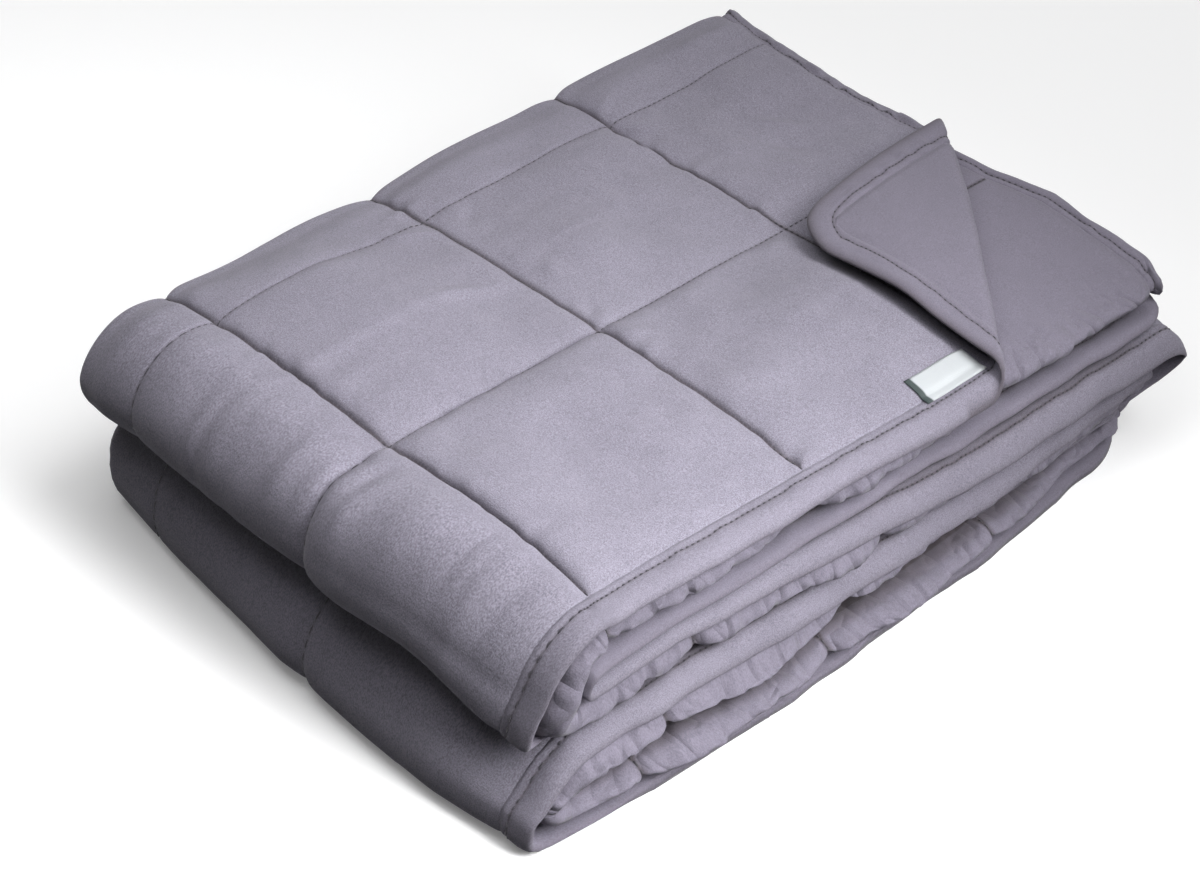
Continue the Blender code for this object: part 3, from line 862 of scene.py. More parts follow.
class Signal:
    """A node's output that takes part in Python expressions: each operator on values adds one Math node."""

    def __init__(self, recipe: "Recipe", socket: bpy.types.NodeSocket) -> None:
        """Wraps the socket of a recipe's node."""
        self.recipe = recipe
        self.socket = socket

    def __add__(self, other: "Signal | Number") -> "Signal":
        """self + other."""
        return self.recipe.math("ADD", self, other)

    def __sub__(self, other: "Signal | Number") -> "Signal":
        """self - other."""
        return self.recipe.math("SUBTRACT", self, other)

    def __rsub__(self, other: Number) -> "Signal":
        """other - self."""
        return self.recipe.math("SUBTRACT", other, self)

    def __mul__(self, other: "Signal | Number") -> "Signal":
        """self * other."""
        return self.recipe.math("MULTIPLY", self, other)

    def clamped(self) -> "Signal":
        """The value, kept between 0 and 1."""
        return self.recipe.node("Clamp", {}, {"Value": self, "Min": 0.0, "Max": 1.0})


class Recipe:
    """A material that is put together node by node."""

    def __init__(self, name: str) -> None:
        """Starts an empty material of that name."""
        self.material = bpy.data.materials.new(name)
        self.material.use_nodes = True
        self.tree = self.material.node_tree
        self.tree.nodes.clear()

    def node(self, kind: str, settings: dict[str, Any], values: dict[Any, Any], output: Any = 0) -> Signal:
        """Adds a node.

        Args:
            kind: the node's type, without the ShaderNode that all types start with.
            settings: its properties, set before its sockets are read.
            values: what its input sockets hold, by name or index: a Signal is linked, anything else is set.
            output: the name or index of the socket to return.

        Returns:
            The chosen output.
        """
        made = self.tree.nodes.new("ShaderNode" + kind)
        for name, value in settings.items():
            setattr(made, name, value)
        for name, value in values.items():
            if isinstance(value, Signal):
                self.tree.links.new(value.socket, made.inputs[name])
            else:
                made.inputs[name].default_value = value
        return Signal(self, made.outputs[output])

    def math(self, operation: str, *operands: "Signal | Number") -> Signal:
        """A Math node with these operands."""
        return self.node("Math", {"operation": operation}, dict(enumerate(operands)))

    def attribute(self, name: str, output: str = "Fac") -> Signal:
        """A value that the mesh carries at each of its points."""
        return self.node("Attribute", {"attribute_name": name}, {}, output)

    def part(self, vector: Signal, axis: str) -> Signal:
        """One coordinate of a vector."""
        return self.node("SeparateXYZ", {}, {0: vector}, axis)

    def scaled(self, vector: Signal, *by: float) -> Signal:
        """A vector, stretched along its three axes."""
        return self.node("VectorMath", {"operation": "MULTIPLY"}, {0: vector, 1: by})

    def noise(self, vector: Signal, scale: float, detail: float = 1.0, rough: float = 0.5) -> Signal:
        """Random values around 0.5, at so many cells a metre."""
        values = {"Vector": vector, "Scale": scale, "Detail": detail, "Roughness": rough}
        return self.node("TexNoise", {}, values, "Fac")

    def creased(self, vector: Signal, scale: float, sharpness: float) -> Signal:
        """Sharp wandering lines: 1 on each line, falling to 0 beside it."""
        apart = self.math("ABSOLUTE", self.noise(vector, scale) - 0.5)
        return (1 - apart * sharpness).clamped()

    def mix(self, factor: Signal, first: "Signal | Colour", second: "Signal | Colour") -> Signal:
        """Two colours mixed by a factor."""
        return self.node("Mix", {"data_type": "RGBA"}, {0: factor, 6: first, 7: second}, 2)

    def bump(self, height: Signal, distance: float, strength: float = 1.0) -> Signal:
        """A normal from a height."""
        values = {"Height": height, "Distance": distance, "Strength": strength}
        return self.node("Bump", {}, values, "Normal")

    def done(self, **inputs: Any) -> bpy.types.Material:
        """Ends the recipe with a Principled shader.

        Args:
            inputs: the shader's sockets, with _ for a space in their names.

        Returns:
            The material.
        """
        values = {name.replace("_", " "): value for name, value in inputs.items()}
        shader = self.node("BsdfPrincipled", {}, values)
        surface = self.tree.nodes.new("ShaderNodeOutputMaterial").inputs["Surface"]
        self.tree.links.new(shader.socket, surface)
        return self.material


@dataclass(frozen=True)
class BrushedCotton:
    """The blanket's soft, finely brushed cloth, on both faces."""

    name: str
    light: Colour = (0.250, 0.236, 0.290, 1.0)
    dark: Colour = (0.138, 0.128, 0.163, 1.0)
    reverse: Colour = (0.195, 0.178, 0.228, 1.0)
    # the darkest colour, mixed in by the tone: painted shade between the layers, dirt and painted shade in
    # the seams, wear at the edges
    painted_shade_and_wear: Colour = (0.060, 0.050, 0.058, 1.0)
    # Tufts, threads, clouds and drifts of tone a metre.
    nap: float = 2100.0
    threads: float = 2600.0
    clouds: float = 95.0
    drift: float = 14.0
    slim: float = 0.16  # a thread's width by its length
    # How much of the dark colour is mixed in, and how much nap, clouds, drift and weave each change that.
    shade: float = 0.45
    mottling: tuple[float, ...] = (3.6, 0.35, 0.4, 1.2)
    side_edge: float = 2000.0  # how sharply the two faces' colours part at the cloth's middle
    # The creases of the bunched folds a metre, broad and fine, and how sharp they are.
    broad_creases: tuple[float, float] = (62.0, 8.0)
    fine_creases: tuple[float, float] = (110.0, 7.0)
    crease_depth: float = 5.4
    relief: float = 0.00035

    def make(self) -> bpy.types.Material:
        """Builds the material: mottled by its nap and threads, darker with dirt and painted shade in its
        seams, worn at its edges, with painted shade between its layers, creased where slack.
        """
        r = Recipe(self.name)
        at = r.attribute("cloth", "Vector")
        side = (r.part(at, "Z") * self.side_edge + 0.5).clamped()
        nap = r.noise(at, self.nap, 2.0, 0.6)
        clouds = r.noise(at, self.clouds, 3.0, 0.62)
        drift = r.noise(at, self.drift, 2.0)
        weft = r.noise(r.scaled(at, 1.0, self.slim, 1.0), self.threads)
        warp = r.noise(r.scaled(at, self.slim, 1.0, 1.0), self.threads)
        weave = (weft + warp) * 0.5
        first, *others = ((part - 0.5) * by for part, by in zip((nap, clouds, drift, weave), self.mottling))
        for other in others:
            first = first + other
        soft = (first + self.shade).clamped()
        colour = r.mix(soft, r.mix(side, self.reverse, self.light), self.dark)
        # mixes in painted shade, dirt and wear by the tone
        colour = r.mix(r.attribute("tone").clamped(), colour, self.painted_shade_and_wear)
        broad = r.creased(r.scaled(at, 0.5, 1.0, 0.0), *self.broad_creases)
        fine = r.creased(r.scaled(at, 0.8, 0.6, 0.0), *self.fine_creases)
        slack = r.attribute("slack").clamped()
        height = nap * 0.7 + weave * 0.5 + clouds * 0.2 - (broad + fine * 0.5) * slack * self.crease_depth
        return r.done(
            Base_Color=colour,
            Roughness=((clouds - 0.5) * 0.12 + 0.86).clamped(),
            Normal=r.bump(height, self.relief, 0.9),
            Sheen_Weight=0.12,
            Sheen_Roughness=0.45,
            Specular_IOR_Level=0.25,
        )


@dataclass(frozen=True)
class SewingThread:
    """The dark grey thread of the seams and the binding."""

    name: str
    colour: Colour = (0.020, 0.017, 0.024, 1.0)
    pale: Colour = (0.045, 0.039, 0.052, 1.0)
    strands: float = 3200.0
    relief: float = 0.0001

    def make(self) -> bpy.types.Material:
        """Builds the material: twisted strands that catch a little light."""
        r = Recipe(self.name)
        twist = r.noise(r.scaled(r.attribute("cloth", "Vector"), 1.0, 1.0, 2.0), self.strands)
        colour = r.mix(twist.clamped(), self.colour, self.pale)
        return r.done(Base_Color=colour, Roughness=0.6, Normal=r.bump(twist, self.relief), Sheen_Weight=0.1)


@dataclass(frozen=True)
class WovenTape:
    """The bare woven tape of the small label, with a dark band at one end."""

    name: str
    white: Colour = (0.44, 0.46, 0.47, 1.0)
    shade: Colour = (0.37, 0.39, 0.42, 1.0)
    end: Colour = (0.030, 0.045, 0.045, 1.0)
    rib: float = 0.0006
    threads: float = 2400.0
    relief: float = 0.00008

    def make(self) -> bpy.types.Material:
        """Builds the material: close ribs across the tape, and one dark end."""
        r = Recipe(self.name)
        at = r.attribute("cloth", "Vector")
        rib = r.math("SINE", r.part(at, "Y") * (2 * math.pi / self.rib)) * 0.5 + 0.5
        grain = r.noise(at, self.threads, 2.0)
        colour = r.mix((rib * 0.3 + grain * 0.5).clamped(), self.white, self.shade)
        colour = r.mix(r.attribute("tone").clamped(), colour, self.end)
        return r.done(Base_Color=colour, Roughness=0.55, Normal=r.bump(rib + grain, self.relief))


@dataclass(frozen=True)
class StudioPaper:
    """The plain pale paper of the floor and the backdrop."""

    name: str
    glow: float
    colour: Colour = (0.92, 0.92, 0.925, 1.0)
    grains: float = 220.0
    relief: float = 0.00005

    def make(self) -> bpy.types.Material:
        """Builds the material: faintly grained, and lit a little from behind."""
        r = Recipe(self.name)
        grain = r.noise(r.node("TexCoord", {}, {}, "Object"), self.grains, 2.0)
        return r.done(
            Base_Color=self.colour,
            Roughness=0.9,
            Normal=r.bump(grain, self.relief, 0.3),
            Emission_Color=(1.0, 1.0, 1.0, 1.0),
            Emission_Strength=self.glow,
        )


# ------------------------------------------------------------ pieces


def linked(name: str, data: bpy.types.ID) -> bpy.types.Object:
    """Puts a new object with this data in the scene."""
    made = bpy.data.objects.new(name, data)
    bpy.context.scene.collection.objects.link(made)
    return made


def points_of(mesh: bmesh.types.BMesh) -> Array:
    """The (u, v, t) of a mesh's points, as three rows."""
    return np.array([p.co[:] for p in mesh.verts]).T


@dataclass
class Piece:
    """One piece of the blanket: the cloth that it is drawn on, its names, and the node that it replaces."""

    cloth: Cloth
    name: str = ""
    slot: str = ""
    node: str = ""

    def build(self) -> bpy.types.Object:
        """Builds the piece; each kind of piece has its own way."""
        raise NotImplementedError

    def finished(self, mesh: bmesh.types.BMesh, flat: Array, tone: Array) -> bpy.types.Object:
        """Turns a mesh of flat places into a piece in the stack.

        Args:
            mesh: the faces; its points are replaced.
            flat: one row of (u, v, t) for each point.
            tone: how dark each point is painted, 0 to 1: painted shade between the layers and in the seams,
                dirt in the seams and wear at the edges.

        Returns:
            The new object.
        """
        bmesh.ops.triangulate(mesh, faces=[f for f in mesh.faces if len(f.verts) > 4])
        data = bpy.data.meshes.new(self.name)
        mesh.to_mesh(data)
        mesh.free()
        data.vertices.foreach_set("co", self.cloth.place(flat).astype(np.float32).ravel())
        slack = self.cloth.at_near_folds(flat[:, 0], self.cloth.slack_over)
        carried = (
            ("cloth", "FLOAT_VECTOR", "vector", flat),
            ("tone", "FLOAT", "value", tone),
            ("slack", "FLOAT", "value", slack),
        )
        for key, kind, column, values in carried:
            held = data.attributes.new(key, kind, "POINT")
            held.data.foreach_set(column, values.astype(np.float32).ravel())
        data.update()
        solid = bmesh.new()
        solid.from_mesh(data)
        if solid.calc_volume(signed=True) < 0:
            data.flip_normals()
        solid.free()
        data.shade_smooth()
        return linked(self.name, data)

    @staticmethod
    def slab(us: Sequence[float], vs: Sequence[float]) -> bmesh.types.BMesh:
        """A closed slab over a grid, with its faces at -1 and +1.

        Args:
            us: the grid's lines across the cloth.
            vs: its lines along it.

        Returns:
            The mesh.
        """
        mesh = bmesh.new()
        low, high = ([[mesh.verts.new((u, v, t)) for v in vs] for u in us] for t in (-1.0, 1.0))
        for i in range(len(us) - 1):
            for j in range(len(vs) - 1):
                mesh.faces.new((high[i][j], high[i + 1][j], high[i + 1][j + 1], high[i][j + 1]))
                mesh.faces.new((low[i][j], low[i][j + 1], low[i + 1][j + 1], low[i + 1][j]))
        rim = [(i, 0) for i in range(len(us))] + [(len(us) - 1, j) for j in range(1, len(vs))]
        rim += [(i, len(vs) - 1) for i in range(len(us) - 2, -1, -1)]
        rim += [(0, j) for j in range(len(vs) - 2, 0, -1)]
        for (a, b), (c, d) in zip(rim, rim[1:] + rim[:1]):
            mesh.faces.new((low[a][b], low[c][d], high[c][d], high[a][b]))
        return mesh


@dataclass
class QuiltPanel(Piece):
    """The filled, quilted panel: one closed cloth through all its folds."""

    name: str = "quilted_panel"
    slot: str = "quilt_cloth"
    node: str = "quilt"
    edge: float = 0.0140  # the panel's rim, hidden in the binding
    corner: float = 0.035
    cell: float = 0.0205  # the widest of the first cells
    fold_cell: tuple[float, float] = (0.0028, 0.0055)
    nearest: float = 0.0022
    # The longest edges wanted: in the sewn creases, on what shows, on what shows a little, and inside.
    crisp: float = 0.0015
    fine: float = 0.0026
    medium: float = 0.0053
    rough: float = 0.0105
    hidden: float = 0.0300
    passes: int = 5
    # The bands of finer cells: beside the seams on top and below it, at the folds, the edges and the ends.
    seam_bands: tuple[float, float] = (0.0022, 0.0030)
    fold_bands: tuple[float, float] = (0.018, 0.014)
    edge_band: float = 0.030
    end_band: float = 0.045
    flap_size: float = 0.17
    under_shown: float = 0.19
    # how dark the sewn lines are painted, with dirt and painted shade
    seam_dirt_and_shade: float = 0.95
    seam_widths: tuple[float, float] = (0.0009, 0.0011)
    off_hem: Rise = Rise(0.0178, 0.0012)
    # how much shade is painted deep between the near side's layers
    painted_recess_shade: float = 0.75

    def lines(self, seams: Array, strip: Strip, step: float) -> list[float]:
        """The first mesh lines: the rim, the seams and the folds, with equal cells between.

        Args:
            seams: the seams in this direction, with the edge's own at both ends.
            strip: the folded strip in this direction.
            step: the cell inside a fold.

        Returns:
            The places of the lines, in order.
        """
        chosen = [self.edge, strip.length - self.edge]
        folds = [np.linspace(t.start, t.end, round((t.end - t.start) / step) + 1) for t in strip.turns]
        for place in [*seams[1:-1], *np.concatenate(folds)]:
            if min(abs(place - other) for other in chosen) > self.nearest:
                chosen.append(float(place))
        chosen.sort()
        made = [chosen[0]]
        for a, b in zip(chosen, chosen[1:]):
            made += list(np.linspace(a, b, max(1, math.ceil((b - a) / self.cell)) + 1)[1:])
        return made

    def rounded(self, u: Array, v: Array) -> tuple[Array, Array]:
        """Turns the square corners of the grid into quarter circles.

        Args:
            u: places across the cloth.
            v: places along it.

        Returns:
            Both, with those in the corners moved.
        """
        fold, radius = self.cloth.folding, self.corner - self.edge
        for far_u in (False, True):
            for far_v in (False, True):
                a = (self.corner - (fold.width - u if far_u else u)) / radius
                b = (self.corner - (fold.length - v if far_v else v)) / radius
                here = (a > 0) & (b > 0)
                ra = radius * a * np.sqrt(np.maximum(1 - b * b / 2, 0))
                rb = radius * b * np.sqrt(np.maximum(1 - a * a / 2, 0))
                u = np.where(here, fold.width - self.corner + ra if far_u else self.corner - ra, u)
                v = np.where(here, fold.length - self.corner + rb if far_v else self.corner - rb, v)
        return u, v

    def wanted(self, u: Array, v: Array, side: Array) -> Array:
        """The longest edge that is wanted at each place.

        Args:
            u: places across the cloth.
            v: places along it.
            side: 1 for the outer face and -1 for the inner one.

        Returns:
            The length, in metres.
        """
        fold = self.cloth.folding
        across, along = fold.across.turns, fold.along.turns
        du, _, dv = self.cloth.from_seams(u, v)
        seam = np.minimum(du, dv)
        outer, inner, first = side > 0, side < 0, u < across[0].end
        top = outer & first & (v < along[0].end)
        low_nose = outer & first & (v > along[2].start - 0.02) & (v < along[2].end + 0.015)
        flap = inner & (np.maximum(u, v) < self.flap_size)
        under = inner & (u > across[0].end + 0.12) & (u < across[1].start) & (v < self.under_shown)
        near_fold = inner & (np.abs(u - fold.near_fold) < self.fold_bands[0])
        near_edge = np.minimum(u, fold.width - u) < self.edge_band
        from_far = np.minimum(np.abs(u - across[0].start), np.abs(u - across[2].start))
        far_fold = outer & (from_far < self.fold_bands[1])
        ends = (v < self.end_band) | (v > fold.length - self.end_band)
        right_fold = outer & (u > across[2].start) & (v > along[1].start - 0.01) & (v < along[1].end + 0.01)
        lowest = outer & first & (v > fold.along.straights[-1].start)
        regions = (
            (top & (seam < self.seam_bands[0]), self.crisp),
            (under & (seam < self.seam_bands[1]), self.crisp),
            (near_fold, self.crisp * 1.75),
            (top, self.fine),
            (low_nose | flap, self.fine * 1.05),
            (under | near_edge | far_fold | ends | right_fold, self.medium),
            (lowest, self.rough),
        )
        return np.select(*zip(*regions), default=self.hidden)

    def refine(self, mesh: bmesh.types.BMesh) -> None:
        """Splits edges until each is as short as wanted where it lies."""
        for _ in range(self.passes):
            edges = list(mesh.edges)
            ends = np.array([(*e.verts[0].co, *e.verts[1].co) for e in edges])
            middle = 0.5 * (ends[:, :3] + ends[:, 3:])
            flat = np.hypot(ends[:, 0] - ends[:, 3], ends[:, 1] - ends[:, 4])
            long = [e for e, pick in zip(edges, flat > self.wanted(*middle.T)) if pick]
            if not long:
                break
            bmesh.ops.subdivide_edges(mesh, edges=long, cuts=1, use_grid_fill=True, use_single_edge=True)

    def tone(self, u: Array, v: Array, side: Array) -> Array:
        """How dark the cloth is painted: dirt and painted shade in its sewn creases, and painted shade deep
        between its layers.

        Args:
            u: places across the cloth.
            v: places along it.
            side: 1 for the outer face and -1 for the inner one.

        Returns:
            The darkness of each place.
        """
        cloth = self.cloth
        du, ku, dv = cloth.from_seams(u, v)
        along = cloth.less_at_loose(ku, 0.25) * bell(du, self.seam_widths[0])
        lines = np.maximum(along, bell(dv, self.seam_widths[1]))
        # dirt and painted shade along the sewn lines
        sewn = self.seam_dirt_and_shade * self.off_hem.at(cloth.inset(u, v)) * lines
        # plus painted shade deep between the near side's layers
        return sewn + self.painted_recess_shade * cloth.recess(u, v, side)

    def build(self) -> bpy.types.Object:
        """Builds the piece."""
        cloth, fold = self.cloth, self.cloth.folding
        us = self.lines(cloth.seams_u, fold.across, self.fold_cell[0])
        vs = self.lines(cloth.seams_v, fold.along, self.fold_cell[1])
        mesh = self.slab(us, vs)
        self.refine(mesh)
        u, v, t = points_of(mesh)
        side = np.sign(t)
        u, v = self.rounded(u, v)
        flat = np.stack((u, v, cloth.face(u, v, side)), axis=1)
        return self.finished(mesh, flat, self.tone(u, v, side))


@dataclass
class EdgeBinding(Piece):
    """The strip of the same cloth that is sewn over the whole edge."""

    name: str = "bound_edge"
    slot: str = "binding_cloth"
    node: str = "edge_binding"
    corner: float = 0.035
    corner_steps: int = 14
    # The station steps of the four sides, from the far one in u round to the one at v = 0.
    steps: tuple[float, ...] = (0.0030, 0.0065, 0.0030, 0.00216)
    insets: tuple[float, ...] = (
        0.0003, 0.0010, 0.0025, 0.0045, 0.0070, 0.0090, 0.0105,
        0.0117, 0.0124, 0.0131, 0.0142, 0.0155, 0.0165, 0.0171,
    )
    # Darker lines: how dark, how far in from the edge, and how wide. The first two are painted shade in the
    # grooves of the stitch line and of the binding's inner rim; the last is wear along the free edge.
    groove_shade_and_edge_wear: Rows = ((0.60, 0.0124, 0.0006), (0.12, 0.0171, 0.0008), (0.25, 0.0, 0.0014))
    # The turned-back corner's rim, darker: how dark, how far along the edges, and how far in.
    dark_rim: tuple[float, float, float] = (0.45, 0.17, 0.007)
    # how much shade is painted deep between the near side's layers
    painted_recess_shade: float = 0.6

    def path(self) -> tuple[Array, Array]:
        """Stations round the cloth's edge.

        Returns:
            The (u, v) of each station on the edge, and the inward direction there.
        """
        fold, corner = self.cloth.folding, self.corner
        low, wide, long = corner, fold.width - corner, fold.length - corner
        centres = np.array(((wide, low), (wide, long), (low, long), (low, low)))
        places, inward = [], []
        for k, step in enumerate(self.steps):
            for n in range(self.corner_steps + 1):
                angle = math.pi / 2 * (k - 1 + n / self.corner_steps)
                out = np.array((math.cos(angle), math.sin(angle)))
                places.append(centres[k] + corner * out)
                inward.append(-out)
            start, end = places[-1], centres[(k + 1) % len(centres)] + corner * out
            count = round(math.dist(start, end) / step)
            places += [start + (end - start) * n / count for n in range(1, count)]
            inward += [-out] * (count - 1)
        return np.array(places), np.array(inward)

    def build(self) -> bpy.types.Object:
        """Builds the piece: one closed ring of sections."""
        places, inward = self.path()
        outer, inner = ([(s, face.value) for s in self.insets] for face in Face)
        section = [(0.0, Face.OUTER.value), *outer, *reversed(inner)]
        ring, count = len(section), len(places)
        inset, side = np.tile(section, (count, 1)).T
        u, v = (places.repeat(ring, axis=0) + inward.repeat(ring, axis=0) * inset[:, None]).T
        flat = np.stack((u, v, self.cloth.hem_face(inset, u, v, side)), axis=1)
        mesh = bmesh.new()
        points = [mesh.verts.new(row) for row in flat]
        for i in range(count):
            a, b = i * ring, (i + 1) % count * ring
            for k in range(ring):
                j = (k + 1) % ring
                mesh.faces.new((points[a + k], points[a + j], points[b + j], points[b + k]))
        # painted shade in the binding's grooves, and wear along its free edge
        tone = sum(dark * bell(inset - at, width) for dark, at, width in self.groove_shade_and_edge_wear)
        dark, along, over = self.dark_rim
        tone += dark * (np.maximum(u, v) < along) * fade(inset, over)
        # plus painted shade deep between the near side's layers
        return self.finished(mesh, flat, tone + self.painted_recess_shade * self.cloth.recess(u, v, side))


@dataclass
class Stitching(Piece):
    """Rows of short stitches, all in one piece."""

    length: float = 0.0022
    gap: float = 0.0012
    thick: float = 0.00030
    flatness: float = 1.25  # a thread's width by its height
    rows: list[tuple[Array, Face, Level, float]] = field(default_factory=list)

    RING = 5
    # Places along a stitch, and how far its middle is above the cloth there, in half threads.
    STATIONS = ((0.0, -0.9), (0.28, 0.75), (0.72, 0.75), (1.0, -0.9))

    def add(self, ends: Sequence[Sequence[float]], face: Face, level: Level, share: float = 1.0) -> None:
        """Adds a straight row on the flat cloth.

        Args:
            ends: the row's first and last (u, v).
            face: the face of the cloth it is sewn on.
            level: gives the level of the cloth's face there, from (u, v, side).
            share: how much of the full thickness its thread has.
        """
        self.rows.append((np.array(ends, float), face, level, share))

    def threads(self) -> Array:
        """The points of every stitch.

        Returns:
            One row of (u, v, t) for each point: ring by ring, station by station, stitch by stitch.
        """
        part, lift = np.array(self.STATIONS).T
        angles = 2 * math.pi * np.arange(self.RING) / self.RING
        flats = []
        for (start, end), face, level, share in self.rows:
            thick, run = self.thick * share, np.linalg.norm(end - start)
            line = (end - start) / run
            cross = np.array((-line[1], line[0]))
            starts = np.arange(0.0, run - self.length, self.length + self.gap)
            along = (starts[:, None] + part * self.length).ravel()
            middle = start + line * along[:, None]
            round_it = cross * (thick * self.flatness * np.cos(angles))[:, None]
            ground = level(*middle.T, np.full(len(middle), face.value))
            height = np.tile(lift * thick, len(starts))[:, None] + thick * np.sin(angles)
            spots = middle[:, None, :] + round_it
            t = ground[:, None] + face.value * height
            flats.append(np.concatenate((spots, t[..., None]), axis=2).reshape(-1, 3))
        return np.concatenate(flats)

    def build(self) -> bpy.types.Object:
        """Builds the piece: each stitch is a short tube with closed ends."""
        last = (len(self.STATIONS) - 1) * self.RING
        one = [
            (a + n, a + (n + 1) % self.RING, a + self.RING + (n + 1) % self.RING, a + self.RING + n)
            for a in range(0, last, self.RING)
            for n in range(self.RING)
        ]
        one += [tuple(reversed(range(self.RING))), tuple(range(last, last + self.RING))]
        flat, mesh = self.threads(), bmesh.new()
        points = [mesh.verts.new(row) for row in flat]
        for base in range(0, len(points), last + self.RING):
            for face in one:
                mesh.faces.new([points[base + n] for n in face])
        return self.finished(mesh, flat, np.zeros(len(flat)))


@dataclass
class Label(Piece):
    """The small woven tape, bare, that is sewn in beside the turned-back corner."""

    name: str = "woven_tape"
    slot: str = "label_tape"
    node: str = "label"
    length: float = 0.0390
    width: float = 0.0130
    thickness: float = 0.0005
    at: tuple[float, float] = (0.0135, 0.1470)
    above: float = 0.0003
    cells: tuple[int, int] = (14, 42)
    softened: float = 0.0008
    wave: float = 0.0001
    waves: float = 160.0  # radians a metre
    dark_end: float = 0.0030

    def build(self) -> bpy.types.Object:
        """Builds the piece: a thin slab with softened rims, and one dark end."""
        us = np.linspace(self.at[0], self.at[0] + self.width, self.cells[0] + 1)
        vs = np.linspace(self.at[1], self.at[1] + self.length, self.cells[1] + 1)
        mesh = self.slab(us, vs)
        u, v, t = points_of(mesh)
        rim = np.minimum(np.minimum(u - us[0], us[-1] - u), np.minimum(v - vs[0], vs[-1] - v))
        body = self.thickness * (0.55 + 0.45 * smooth(rim / self.softened))
        wave = self.wave * (1 + np.sin((v - vs[0]) * self.waves))
        ground = np.maximum(self.cloth.face(u, v, np.ones(len(u))), self.cloth.binding_half[3][1])
        flat = np.stack((u, v, ground + self.above + wave + np.where(t > 0, body, 0.0)), axis=1)
        return self.finished(mesh, flat, fade(vs[-1] - v - self.dark_end, 0.0006))


# ------------------------------------------------------------ studio


@dataclass
class Studio:
    """The floor, the backdrop, the lights and the camera."""

    place: Place = (-0.68475, -0.6925, 0.791)
    yaw: float = 46.73
    pitch: float = -38.44
    roll: float = 0.18
    lens: float = 78.0
    sensor: float = 36.0
    floor_size: float = 40.0
    floor_drop: float = 0.0002
    wall_reach: float = 19.2
    wall_height: float = 12.0
    wall_foot: float = -0.01
    world: float = 0.05
    # Each light's name, kind, place, the point it faces, its strength and its spread in degrees.
    # For a far one the place only gives its direction, and the spread is how wide it looks.
    lights: tuple[tuple[str, Lamp, Place, Place, float, float], ...] = (
        ("broad_key", Lamp.FAR, (0.30, -0.50, 0.81), (0.0, 0.0, 0.0), 1.50, 36.0),
        ("overhead", Lamp.FAR, (0.0, 0.0, 1.0), (0.0, 0.0, 0.0), 0.9, 60.0),
        ("near_side_box", Lamp.NEAR, (0.04, -0.64, 0.50), (-0.14, -0.13, 0.08), 1.20, 55.0),
        ("top_box", Lamp.NEAR, (-0.20, -0.03, 0.60), (-0.20, -0.03, 0.10), 1.08, 160.0),
    )
    box_size: float = 0.4

    def camera(self) -> None:
        """Sets the camera at the photograph's angle."""
        yaw, pitch, roll = (math.radians(a) for a in (self.yaw, self.pitch, self.roll))
        ahead = Vector((math.cos(yaw) * math.cos(pitch), math.sin(yaw) * math.cos(pitch), math.sin(pitch)))
        right = Vector((math.sin(yaw), -math.cos(yaw), 0.0))
        up = right.cross(ahead)
        across = right * math.cos(roll) + up * math.sin(roll)
        rise = up * math.cos(roll) - right * math.sin(roll)
        data = bpy.data.cameras.new("camera")
        data.lens, data.sensor_width = self.lens, self.sensor
        data.clip_start, data.clip_end = 0.05, 50.0
        made = linked("camera", data)
        turn = Matrix((across, rise, -ahead)).transposed().to_4x4()
        made.matrix_world = Matrix.Translation(self.place) @ turn
        bpy.context.scene.camera = made

    def surface(self, name: str, mesh: bmesh.types.BMesh, level: float, paper: StudioPaper) -> None:
        """Sets up a plain surface that belongs to the picture and not to the blanket.

        Args:
            name: the surface's name.
            mesh: its faces.
            level: where it stands.
            paper: its finish.
        """
        data = bpy.data.meshes.new(name)
        mesh.to_mesh(data)
        mesh.free()
        data.materials.append(paper.make())
        made = linked(name, data)
        made.location.z = level
        made.visible_diffuse = False

    def room(self) -> None:
        """Lays the plain floor, and stands a pale wall far round it, for the low views."""
        floor, wall = bmesh.new(), bmesh.new()
        bmesh.ops.create_grid(floor, x_segments=8, y_segments=8, size=self.floor_size / 2)
        self.surface("floor", floor, -self.floor_drop, StudioPaper("pale_floor", glow=0.14))
        reach, level = self.wall_reach, self.wall_height / 2 + self.wall_foot
        bmesh.ops.create_cone(wall, segments=96, radius1=reach, radius2=reach, depth=self.wall_height)
        self.surface("backdrop", wall, level, StudioPaper("pale_backdrop", glow=0.75))

    def light(self, name: str, lamp: Lamp, place: Place, aim: Place, strength: float, spread: float) -> None:
        """Hangs one light.

        Args:
            name: the light's name.
            lamp: its kind.
            place: where it hangs.
            aim: the point it faces.
            strength: in watts, or watts a square metre for a far one.
            spread: how wide its beam is, or how wide it looks, in degrees.
        """
        data = bpy.data.lights.new(name, lamp.value)
        data.energy = strength
        if lamp is Lamp.FAR:
            data.angle = math.radians(spread)
        else:
            data.shape, data.size, data.spread = "SQUARE", self.box_size, math.radians(spread)
        made = linked(name, data)
        made.location = place
        made.rotation_mode = "QUATERNION"
        made.rotation_quaternion = (Vector(aim) - Vector(place)).to_track_quat("-Z", "Y")

    def build(self) -> None:
        """Sets the floor, the lights, the surroundings and the camera."""
        scene = bpy.context.scene
        scene.view_settings.view_transform = "Standard"
        scene.world = bpy.data.worlds.new("surroundings")
        scene.world.use_nodes = True
        back = scene.world.node_tree.nodes["Background"]
        back.inputs["Color"].default_value = (1.0, 1.0, 1.0, 1.0)
        back.inputs["Strength"].default_value = self.world
        self.room()
        for light in self.lights:
            self.light(*light)
        self.camera()


# ------------------------------------------------------------ the blanket


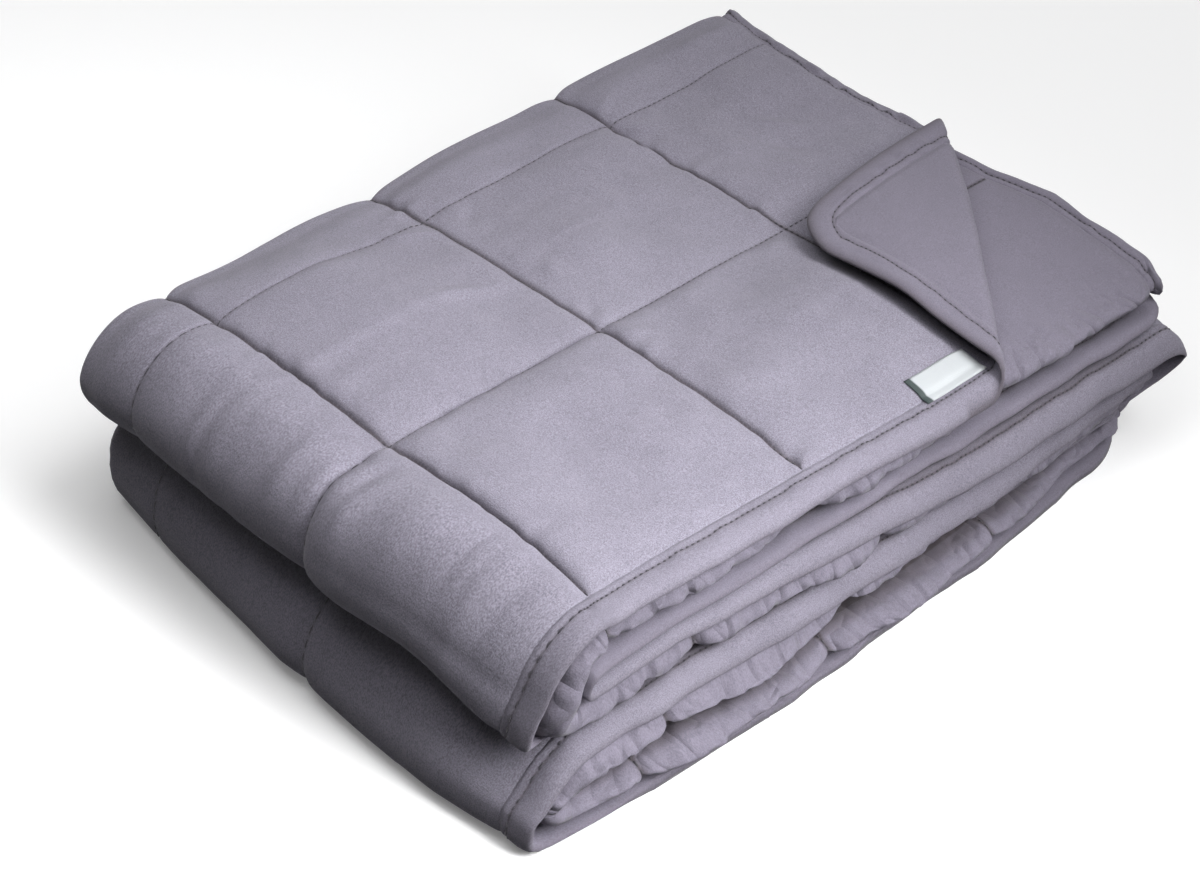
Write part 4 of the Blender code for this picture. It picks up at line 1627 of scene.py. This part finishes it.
@dataclass
class Blanket:
    """The whole folded blanket."""

    cloth: Cloth
    corner: float = 0.035
    corner_rows: int = 8
    hem_shown: float = 0.62  # how far the topstitching of the bound ends is sewn
    under_shown: float = 0.19  # how much of the second sheet's inner face shows at the open end
    near_reach: float = 0.024
    far_reach: float = 0.016
    fine_share: float = 0.65
    hem_light: Colour = (0.225, 0.210, 0.260, 1.0)

    def dress(self, part: Piece, material: bpy.types.Material) -> bpy.types.Object:
        """Builds a piece, and gives it its finish and its place on the body.

        Args:
            part: what to build.
            material: its finish.

        Returns:
            The piece.
        """
        piece = part.build()
        piece.data.materials.append(material)
        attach(piece, "root")
        if part.node:
            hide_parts(part.node)
        log.info("%s: %d faces", piece.name, len(piece.data.polygons))
        return piece

    def seam_stitches(self) -> Stitching:
        """The rows along the quilting seams, where they show."""
        cloth, fold = self.cloth, self.cloth.folding
        sewn = Stitching(cloth, "quilting_stitches", "quilt_cloth", thick=0.00042)
        inside, sheet = fold.hem + 0.0005, fold.across.turns[0].end - 0.001
        first, third = fold.along.turns[0], fold.along.turns[2]
        spans = ((inside, first.end - 0.004), (third.start - 0.02, third.end + 0.01))
        for u in cloth.seams_u[1:3]:
            for start, end in spans:
                sewn.add(((u, start), (u, end)), Face.OUTER, cloth.face, self.fine_share)
        for v in cloth.seams_v[1:-1]:
            rows = [(Face.INNER, fold.near_fold - self.near_reach, fold.near_fold + self.near_reach)]
            rows += [(Face.OUTER, t.start - self.far_reach, t.end + self.far_reach) for t in fold.far_folds]
            if v < spans[0][1] or spans[1][0] < v < spans[1][1]:
                rows.insert(0, (Face.OUTER, inside, sheet))
            for face, start, end in rows:
                sewn.add(((start, v), (end, v)), face, cloth.face)
        for u in cloth.seams_u[3:5]:
            sewn.add(((u, inside), (u, self.under_shown)), Face.INNER, cloth.face)
        return sewn

    def hem_stitches(self) -> Stitching:
        """The topstitching of the binding, on both its faces."""
        cloth, fold = self.cloth, self.cloth.folding
        sewn = Stitching(cloth, "binding_stitches", "binding_cloth", length=0.0018, gap=0.0013)
        inset, corner = cloth.stitch_inset, self.corner
        radius, far = corner - inset, fold.width - inset

        def level(u: Array, v: Array, side: Array) -> Array:
            """The binding's face along its stitch line."""
            return cloth.hem_face(np.full_like(u, inset), u, v, side)

        angles = np.linspace(0.0, math.pi / 2, self.corner_rows + 1)
        spots = [(corner - radius * math.cos(a), corner - radius * math.sin(a)) for a in angles]
        for face in Face:
            for u in (inset, far):
                sewn.add(((u, corner), (u, fold.length - corner)), face, level)
            sewn.add(((corner, inset), (self.hem_shown, inset)), face, level)
            for ends in zip(spots, spots[1:]):
                sewn.add(ends, face, level)
        return sewn

    def build(self) -> None:
        """Builds and dresses every piece."""
        cloth, fold = self.cloth, self.cloth.folding
        thread = SewingThread("grey_thread").make()
        parts = (
            (QuiltPanel(cloth), BrushedCotton("brushed_grey_cotton").make()),
            (EdgeBinding(cloth), BrushedCotton("brushed_grey_binding", light=self.hem_light).make()),
            (Label(cloth), WovenTape("white_woven_tape").make()),
            (self.seam_stitches(), thread),
            (self.hem_stitches(), thread),
        )
        panel, *others = (self.dress(part, material) for part, material in parts)


def main() -> None:
    """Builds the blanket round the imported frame."""
    logging.basicConfig(level=logging.INFO, format="%(name)s %(message)s")
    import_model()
    folding = Folding()
    log.info("flat cloth %.3f x %.3f m", folding.width, folding.length)
    Blanket(Cloth(folding)).build()
    Studio().build()


if __name__ == "__main__":
    main()
